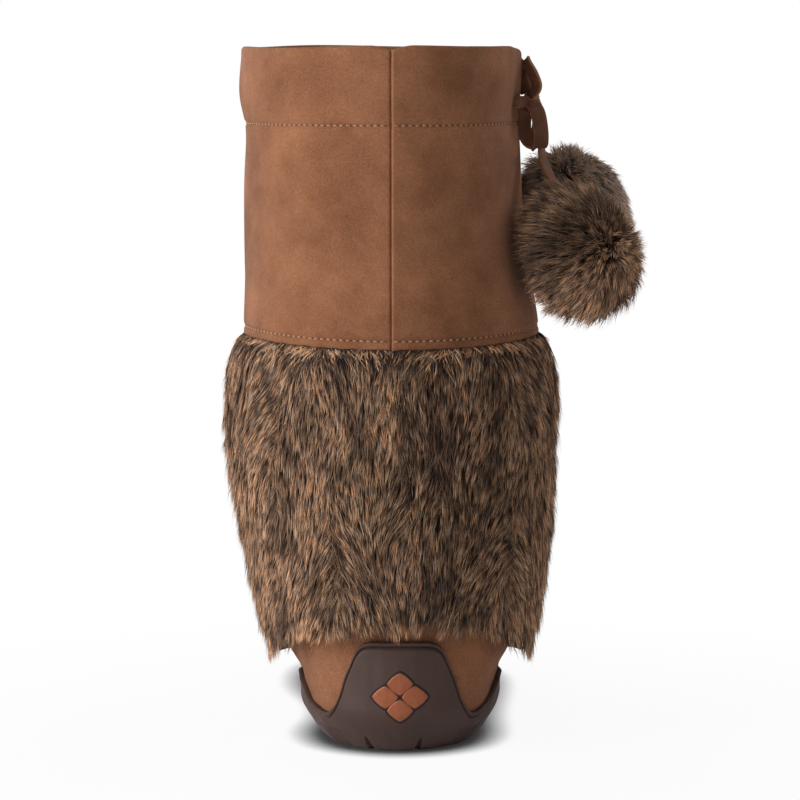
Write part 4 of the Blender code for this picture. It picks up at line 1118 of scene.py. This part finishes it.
def build_sole(skin, rubber):
    """The moulded cup sole, with its lip, heel shield, ribs, notches and tread."""
    turns = sole_turns(skin)
    seen, length = rounded(turns, skin, read_rim(turns), 2.5 * RIM_ROUND)
    whole = length[-1] + length[1]
    from_back = (length - np.interp(0.0, turns, length) + whole / 2) % whole - whole / 2
    far = [np.array(column) * MM for column in zip(*SHIELD_SHAPE)]
    shield = np.interp(np.abs(from_back), *far)
    share = smooth((np.abs(from_back) - far[0][-4]) / (far[0][-1] - far[0][-4]))
    rim = rounded(turns, skin, shield * (1 - share) + seen * share, RIM_ROUND)[0]
    base = place(turns, SOLE_LEVEL, skin_at(skin, turns, SOLE_LEVEL))
    bottom = sole_bottom(base[:, 1])
    edge = EDGE_HEIGHT + toe_lift(base[:, 1])
    groove = rim - LIP_SHAPE[0][0] * MM
    bowl = 1 - (1 - BOWL_FRONT) * smooth((np.abs(from_back) - BOWL_HEEL) / BOWL_FADE)
    rings = []
    for kind, share, out in sole_profile():
        height = {
            "edge": bottom + (edge - bottom) * share,
            "wall": edge + (groove - edge) * share,
            "rim": rim + share,
        }[kind]
        ring = place(turns, height, skin_at(skin, turns, height))
        deep = np.zeros(len(turns))
        if kind == "edge":
            for side in (-1, 1):
                for middle, ribs in RIB_GROUPS:
                    for n in range(ribs):
                        at = side * (middle * whole / 2 + (n - (ribs - 1) / 2) * RIB_PITCH)
                        lean = side * RIB_LEAN * (height - bottom - 0.5 * EDGE_HEIGHT)
                        away = (from_back - at - lean + whole / 2) % whole - whole / 2
                        window = smooth(share / 0.12) * smooth((1.0 - share) / 0.18)
                        deep = np.maximum(deep, RIB_DEPTH * bump(away, RIB_WIDTH) * window)
        if kind != "rim":
            for middle in NOTCHES:
                narrow = np.clip(1 - (height - bottom) / NOTCH_HEIGHT, 0, 1)
                away = np.abs(ring[:, 0] - middle)
                near = (np.abs(turns) < HEEL_TURN) & (narrow > 0)
                inside = smooth((NOTCH_WIDTH / 2 * narrow**0.6 - away) / (0.35 * MM) + 0.5)
                deep = np.maximum(deep, np.where(near, NOTCH_DEPTH * inside, 0))
        drawn = np.interp((height - bottom) / MM, *zip(*BOWL_SHAPE)) * MM * bowl
        rings.append(ring + plan_normals(ring) * (out - deep - drawn)[:, None])
    points = np.concatenate(rings)
    faces = grid_faces(len(rings), len(turns)).tolist()

    start = len(points)
    low = rings[0]
    back, front = low[:, 1].min(), low[:, 1].max()
    share = (1 - np.cos(np.linspace(0, math.pi, TREAD_ROWS))) / 2
    share = 0.6 * share + 0.4 * np.linspace(0, 1, TREAD_ROWS)
    level = back + (front - back) * np.clip(share, 0.0004, 0.9996)
    toe = int(np.argmax(low[:, 1]))
    heel = int(np.argmin(low[:, 1]))
    outer = np.roll(low, -heel, axis=0)[: (toe - heel) % len(low) + 1]
    inner = np.roll(low, -toe, axis=0)[: (heel - toe) % len(low) + 1][::-1]
    ends = []
    for side in (inner, outer):
        run = np.maximum.accumulate(side[:, 1])
        ends.append(np.interp(level, run, side[:, 0]))
    across = np.linspace(0, 1, TREAD_COLUMNS)[None, :]
    x = ends[0][:, None] * (1 - across) + ends[1][:, None] * across
    y = np.broadcast_to(level[:, None], x.shape)
    rise = np.minimum(smooth(across / 0.03), smooth((1 - across) / 0.03))
    z = sole_bottom(y) + tread_depth(x, y) * rise
    under = np.stack([x, y, z], axis=-1).reshape(-1, 3)
    strips = grid_faces(TREAD_ROWS, TREAD_COLUMNS, closed=False)[:, ::-1] + start
    points = np.concatenate([points, under])
    return piece("cup_sole", points, faces + strips.tolist(), [rubber], ["outsole"])


def sole_face(skin, x, height, out):
    """Points on the heel shield, by how far they lie across the heel and up, set out from its face."""
    turns = np.linspace(-1.2, 1.2, 481)
    made = []
    for across, level in zip(np.ravel(x), np.ravel(height)):
        ring = place(turns, level, skin_at(skin, turns, level))
        ahead = np.gradient(ring, axis=0)
        normal = normalised(np.stack([ahead[:, 1], -ahead[:, 0], np.zeros(len(ring))], axis=-1))
        face = ring + normal * SOLE_WALL
        made.append([np.interp(across, face[:, 0], face[:, i]) for i in range(3)]
                    + [np.interp(across, face[:, 0], normal[:, i]) for i in range(3)])
    made = np.array(made)
    drawn = np.interp(np.ravel(height) / MM, *zip(*BOWL_SHAPE)) * MM
    return made[:, :3] + made[:, 3:] * (np.ravel(out) - drawn)[:, None]


def build_inlay(number, skin, copper, gap_shade_plate):
    """One copper diamond of the heel shield, softly domed, on a slightly larger dark plate that paints the
    shade of the gap round it.
    """
    name = f"heel_inlay_{number}"
    low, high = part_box(name)
    middle = (low + high) / 2
    half = ((high.x - low.x) / 2, (high.z - low.z) / 2)
    sides = 64
    about = even_turns(sides)
    round_by = (np.abs(np.cos(about)) ** INLAY_CORNER + np.abs(np.sin(about)) ** INLAY_CORNER)
    reach = round_by ** (-1 / INLAY_CORNER)
    for title, finish, grow, shape in (
        (name + "_domed", copper, 0.0, ((1.0, -0.4), (1.0, 0.22), (0.965, 0.34), (0.90, 0.42),
                                        (0.78, 0.46), (0.5, 0.52), (0.2, 0.55))),
        (name + "_outline", gap_shade_plate, INLAY_GAP_SHADE_MARGIN, ((1.0, -0.5), (1.0, 0.06), (0.96, 0.10), (0.5, 0.10))),
    ):
        rings = []
        for share, out in shape:
            x = middle.x + (half[0] + grow) * share * reach * np.cos(about)
            z = middle.z + (half[1] + grow) * share * reach * np.sin(about)
            rings.append(sole_face(skin, x, z, np.full(sides, out * MM)))
        points = np.concatenate(rings)
        faces = grid_faces(len(rings), sides).tolist()
        faces.append([(len(rings) - 1) * sides + k for k in range(sides)])
        stands_for = [name] if grow == 0 else ()
        piece(title, points, faces, [finish], stands_for)


def dress_node(name, finish):
    """Gives a solid that stays its finish."""
    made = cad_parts[name]
    made.data.materials.clear()
    made.data.materials.append(finish)


def build_room():
    """A pale floor that turns to plain white away from the boot, with a painted contact shadow near the
    boot where ambient occlusion dims its glow, soft lamps and the camera.
    """
    floor_finish = bpy.data.materials.new("pale_floor")
    floor_finish.use_nodes = True
    tree = floor_finish.node_tree
    shader = tree.nodes["Principled BSDF"]
    shader.inputs["Base Color"].default_value = (0.86, 0.86, 0.87, 1)
    shader.inputs["Roughness"].default_value = 0.7
    glow = node(tree, "ShaderNodeEmission", {"Color": (1, 1, 1, 1), "Strength": 1.0})
    # Painted contact shadow: ambient occlusion dims the floor's glow near the boot
    hidden = node(tree, "ShaderNodeAmbientOcclusion", {"Distance": 0.016}, samples=12)
    painted_contact_shadow = node(tree, "ShaderNodeMapRange", {"From Min": 0.33, "From Max": 0.85, "To Min": 0.03})
    link(tree, hidden, "AO", painted_contact_shadow, "Value")
    link(tree, painted_contact_shadow, "Result", glow, "Strength")
    ray = node(tree, "ShaderNodeLightPath")
    where = node(tree, "ShaderNodeTexCoord")
    length = node(tree, "ShaderNodeVectorMath", operation="LENGTH")
    fade = node(tree, "ShaderNodeMapRange", {"From Min": 0.12, "From Max": 0.36, "To Min": 0.935})
    seen = node(tree, "ShaderNodeMath", operation="MULTIPLY")
    mixed = node(tree, "ShaderNodeMixShader")
    link(tree, where, "Object", length, 0)
    link(tree, length, "Value", fade, "Value")
    link(tree, fade, "Result", seen, 0)
    link(tree, ray, "Is Camera Ray", seen, 1)
    link(tree, seen, 0, mixed, "Fac")
    link(tree, shader, "BSDF", mixed, 1)
    link(tree, glow, "Emission", mixed, 2)
    link(tree, mixed, "Shader", tree.nodes["Material Output"], "Surface")
    mesh = bpy.data.meshes.new("floor")
    half = 6.0
    mesh.from_pydata([(-half, -half, 0), (half, -half, 0), (half, half, 0), (-half, half, 0)], [],
                     [(0, 1, 2, 3)])
    mesh.materials.append(floor_finish)
    floor = bpy.data.objects.new("floor", mesh)
    bpy.context.scene.collection.objects.link(floor)

    world = bpy.data.worlds.new("studio")
    world.use_nodes = True
    bpy.context.scene.world = world
    tree = world.node_tree
    tree.nodes.clear()
    seen = node(tree, "ShaderNodeBackground", {"Color": (1, 1, 1, 1), "Strength": 1.0})
    fill = node(tree, "ShaderNodeBackground", {"Color": (1.0, 0.98, 0.96, 1), "Strength": 0.20})
    ray = node(tree, "ShaderNodeLightPath")
    mixed = node(tree, "ShaderNodeMixShader")
    end = node(tree, "ShaderNodeOutputWorld")
    link(tree, ray, "Is Camera Ray", mixed, "Fac")
    link(tree, fill, "Background", mixed, 1)
    link(tree, seen, "Background", mixed, 2)
    link(tree, mixed, "Shader", end, "Surface")

    boot, pompoms = (0, 0.02, 0.14), (0.075, 0.05, 0.22)
    lamps = [
        ("key_lamp", (-1.30, -0.72, 0.70), 0.8, 18.0, boot),
        ("back_lamp", (-0.55, 0.95, 0.75), 0.7, 5.0, boot),
        ("fill_lamp", (0.9, -1.3, 0.55), 1.0, 1.35, boot),
        ("rim_lamp", (0.40, 0.16, 0.50), 0.22, 0.5, pompoms),
    ]
    for name, spot, size, power, target in lamps:
        lamp = bpy.data.lights.new(name, "AREA")
        lamp.size = size
        lamp.energy = power
        made = bpy.data.objects.new(name, lamp)
        made.location = spot
        aim = Vector(target) - Vector(spot)
        made.rotation_euler = aim.to_track_quat("-Z", "Y").to_euler()
        bpy.context.scene.collection.objects.link(made)

    lens = bpy.data.cameras.new("camera")
    lens.lens = CAMERA_LENS
    lens.sensor_width = 36.0
    camera = bpy.data.objects.new("camera", lens)
    camera.location = (0.0, -CAMERA_BACK, CAMERA_HEIGHT)
    camera.rotation_euler = (math.pi / 2 - CAMERA_PITCH, 0, 0)
    bpy.context.scene.collection.objects.link(camera)
    bpy.context.scene.camera = camera
    bpy.context.scene.view_settings.view_transform = "Standard"


def build_boot():
    """The finishes, the forms read from the solids, and every piece."""
    mottle = mottle_group()
    suede = grained(
        "brushed_suede", mottle, (0.40, 0.172, 0.086), (0.245, 0.100, 0.047), 42.0, 1300.0, 1.25, 0.95,
        0.45 * MM, Sheen_Weight=0.12, Sheen_Roughness=0.5, Specular_IOR_Level=0.15,
    )
    raw_edge = grained(
        "cut_suede", mottle, (0.30, 0.13, 0.07), (0.22, 0.09, 0.045), 200.0, 1800.0, 0.6, 0.95, 0.2 * MM,
    )
    # Dark brown fleece for the lining: partly painted shade inside the leg
    fleece = grained(
        "fleece", mottle, (0.16, 0.11, 0.08), (0.10, 0.07, 0.05), 300.0, 900.0, 0.9, 1.0, 1.2 * MM,
        Sheen_Weight=0.3,
    )
    felt = grained(
        "footbed_felt", mottle, (0.42, 0.36, 0.29), (0.34, 0.29, 0.23), 120.0, 1400.0, 0.7, 1.0, 0.4 * MM,
    )
    rubber = grained(
        "brown_rubber", mottle, (0.088, 0.044, 0.034), (0.070, 0.036, 0.028), 80.0, 2200.0, 0.35, 0.55,
        0.05 * MM,
    )
    # Near-black rubber for the plates round the copper diamonds: painted shade of the gaps round them
    painted_gap_shade = grained(
        "painted_gap_shade", mottle, (0.012, 0.007, 0.006), (0.009, 0.005, 0.005), 80.0, 2200.0, 0.3, 0.6,
        0.04 * MM,
    )
    copper = grained(
        "copper", mottle, (0.46, 0.140, 0.060), (0.37, 0.108, 0.046), 400.0, 1600.0, 0.35, 0.42, 0.05 * MM,
        Metallic=0.25,
    )
    thread = grained(
        "thread", mottle, (0.62, 0.36, 0.200), (0.40, 0.20, 0.10), 500.0, 2500.0, 0.6, 0.7, 0.1 * MM,
    )
    # Near-black finish of the needle holes: painted shade in the holes
    shadow = grained(
        "needle_hole_shade", mottle, (0.030, 0.012, 0.008), (0.018, 0.008, 0.005), 400.0, 2500.0, 0.4, 1.0,
        0.05 * MM,
    )
    lace = grained(
        "lace_suede", mottle, (0.235, 0.098, 0.050), (0.150, 0.060, 0.031), 150.0, 1700.0, 0.8, 0.9,
        0.2 * MM, Sheen_Weight=0.08,
    )
    lace_edge = grained(
        "lace_cut_edge", mottle, (0.46, 0.215, 0.105), (0.32, 0.140, 0.065), 300.0, 1700.0, 0.6, 0.9,
        0.2 * MM,
    )
    fur = fur_material(
        "rabbit_fur", (0.060, 0.037, 0.025), (0.93, 0.565, 0.335), (0.040, 0.025, 0.018),
        (0.250, 0.148, 0.098), 75.0,
    )
    # A paler copy of the rabbit fur for the far ball: partly its greyer own colour, and partly painted
    # light for the light that falls on it
    pale_fur_with_painted_light = fur_material(
        "pale_rabbit_fur_with_painted_light", (0.22, 0.155, 0.118), (0.95, 0.76, 0.60), (0.17, 0.120, 0.092),
        (0.66, 0.50, 0.40), 60.0,
    )
    under_fur = grained(
        "under_fur", mottle, (0.072, 0.046, 0.033), (0.110, 0.072, 0.052), 90.0, 700.0, 0.8, 1.0, 0.8 * MM,
    )

    leg_skin = read_skin("upper", HEM + 1.2 * MM, COLLAR_TOP - 1.6 * MM, 60, 360, blur=8)
    foot_skin = read_skin("upper", CUP_FLOOR + 0.2 * MM, HEM - 1.2 * MM, 110, 720, blur=4)
    inner_skin = read_skin("upper", LINING_LOW, COLLAR_TOP - 2 * MM, 90, 240, inside=True, blur=4)
    fur_skin = read_skin("fur_band", 0.030, HEM - 0.4 * MM, 70, 240, blur=3)

    build_leg(leg_skin, suede, raw_edge)
    build_foot(foot_skin, suede)
    build_lining(inner_skin, fleece)
    for name, line in (("casing_stitches", CASING_LINE), ("hem_stitches", HEM_LINE)):
        turns = evenly(leg_skin, line, STITCH_PITCH)
        turns = turns[np.abs(turn_from(turns, SEAM_TURN)) > 0.6 * STITCH_PITCH / LEG_RADIUS]
        stitches(name, leg_skin, leg_relief, line, turns, thread)
        between = turns + STITCH_PITCH / 2 / LEG_RADIUS
        stitch_hole_shades(name.replace("stitches", "needle_holes"), leg_skin, leg_relief, line, between, shadow)
    build_fur(foot_skin, fur_skin, fur, under_fur)
    # Each ball's dark entry darkens its side towards the leg: painted shade
    near = {
        "sweep": (-0.55, 0.85, -0.35),
        "amount": 0.62,
        "dark": {"place": (-0.7, -0.5, 0.45), "amount": 0.46},
        "short": [((0.4, 0.2, 1.0), 0.08), ((-0.55, -0.30, 0.78), -0.28), ((-1.0, 0.0, 0.0), -0.04)],
    }
    far = {
        "sweep": (0.3, 0.4, -0.6),
        "amount": 0.40,
        "dark": {"place": (-0.9, -0.4, -0.2), "amount": 0.26},
        "short": [((0.75, 0.0, 0.65), 0.24), ((0.1, 0.0, 1.0), 0.10), ((-1.0, 0.0, -0.3), -0.16)],
    }
    balls = build_pompom("fur_ball_low", "pompom_low", 21, fur, under_fur, near)
    build_pompom("fur_ball_high", "pompom_high", 22, pale_fur_with_painted_light, under_fur, far)
    build_drawstring(leg_skin, [lace, lace_edge])
    build_sole(foot_skin, rubber)
    dress_node("insole", felt)
    for number in range(1, 5):
        build_inlay(number, foot_skin, copper, painted_gap_shade)


build_room()
build_boot()
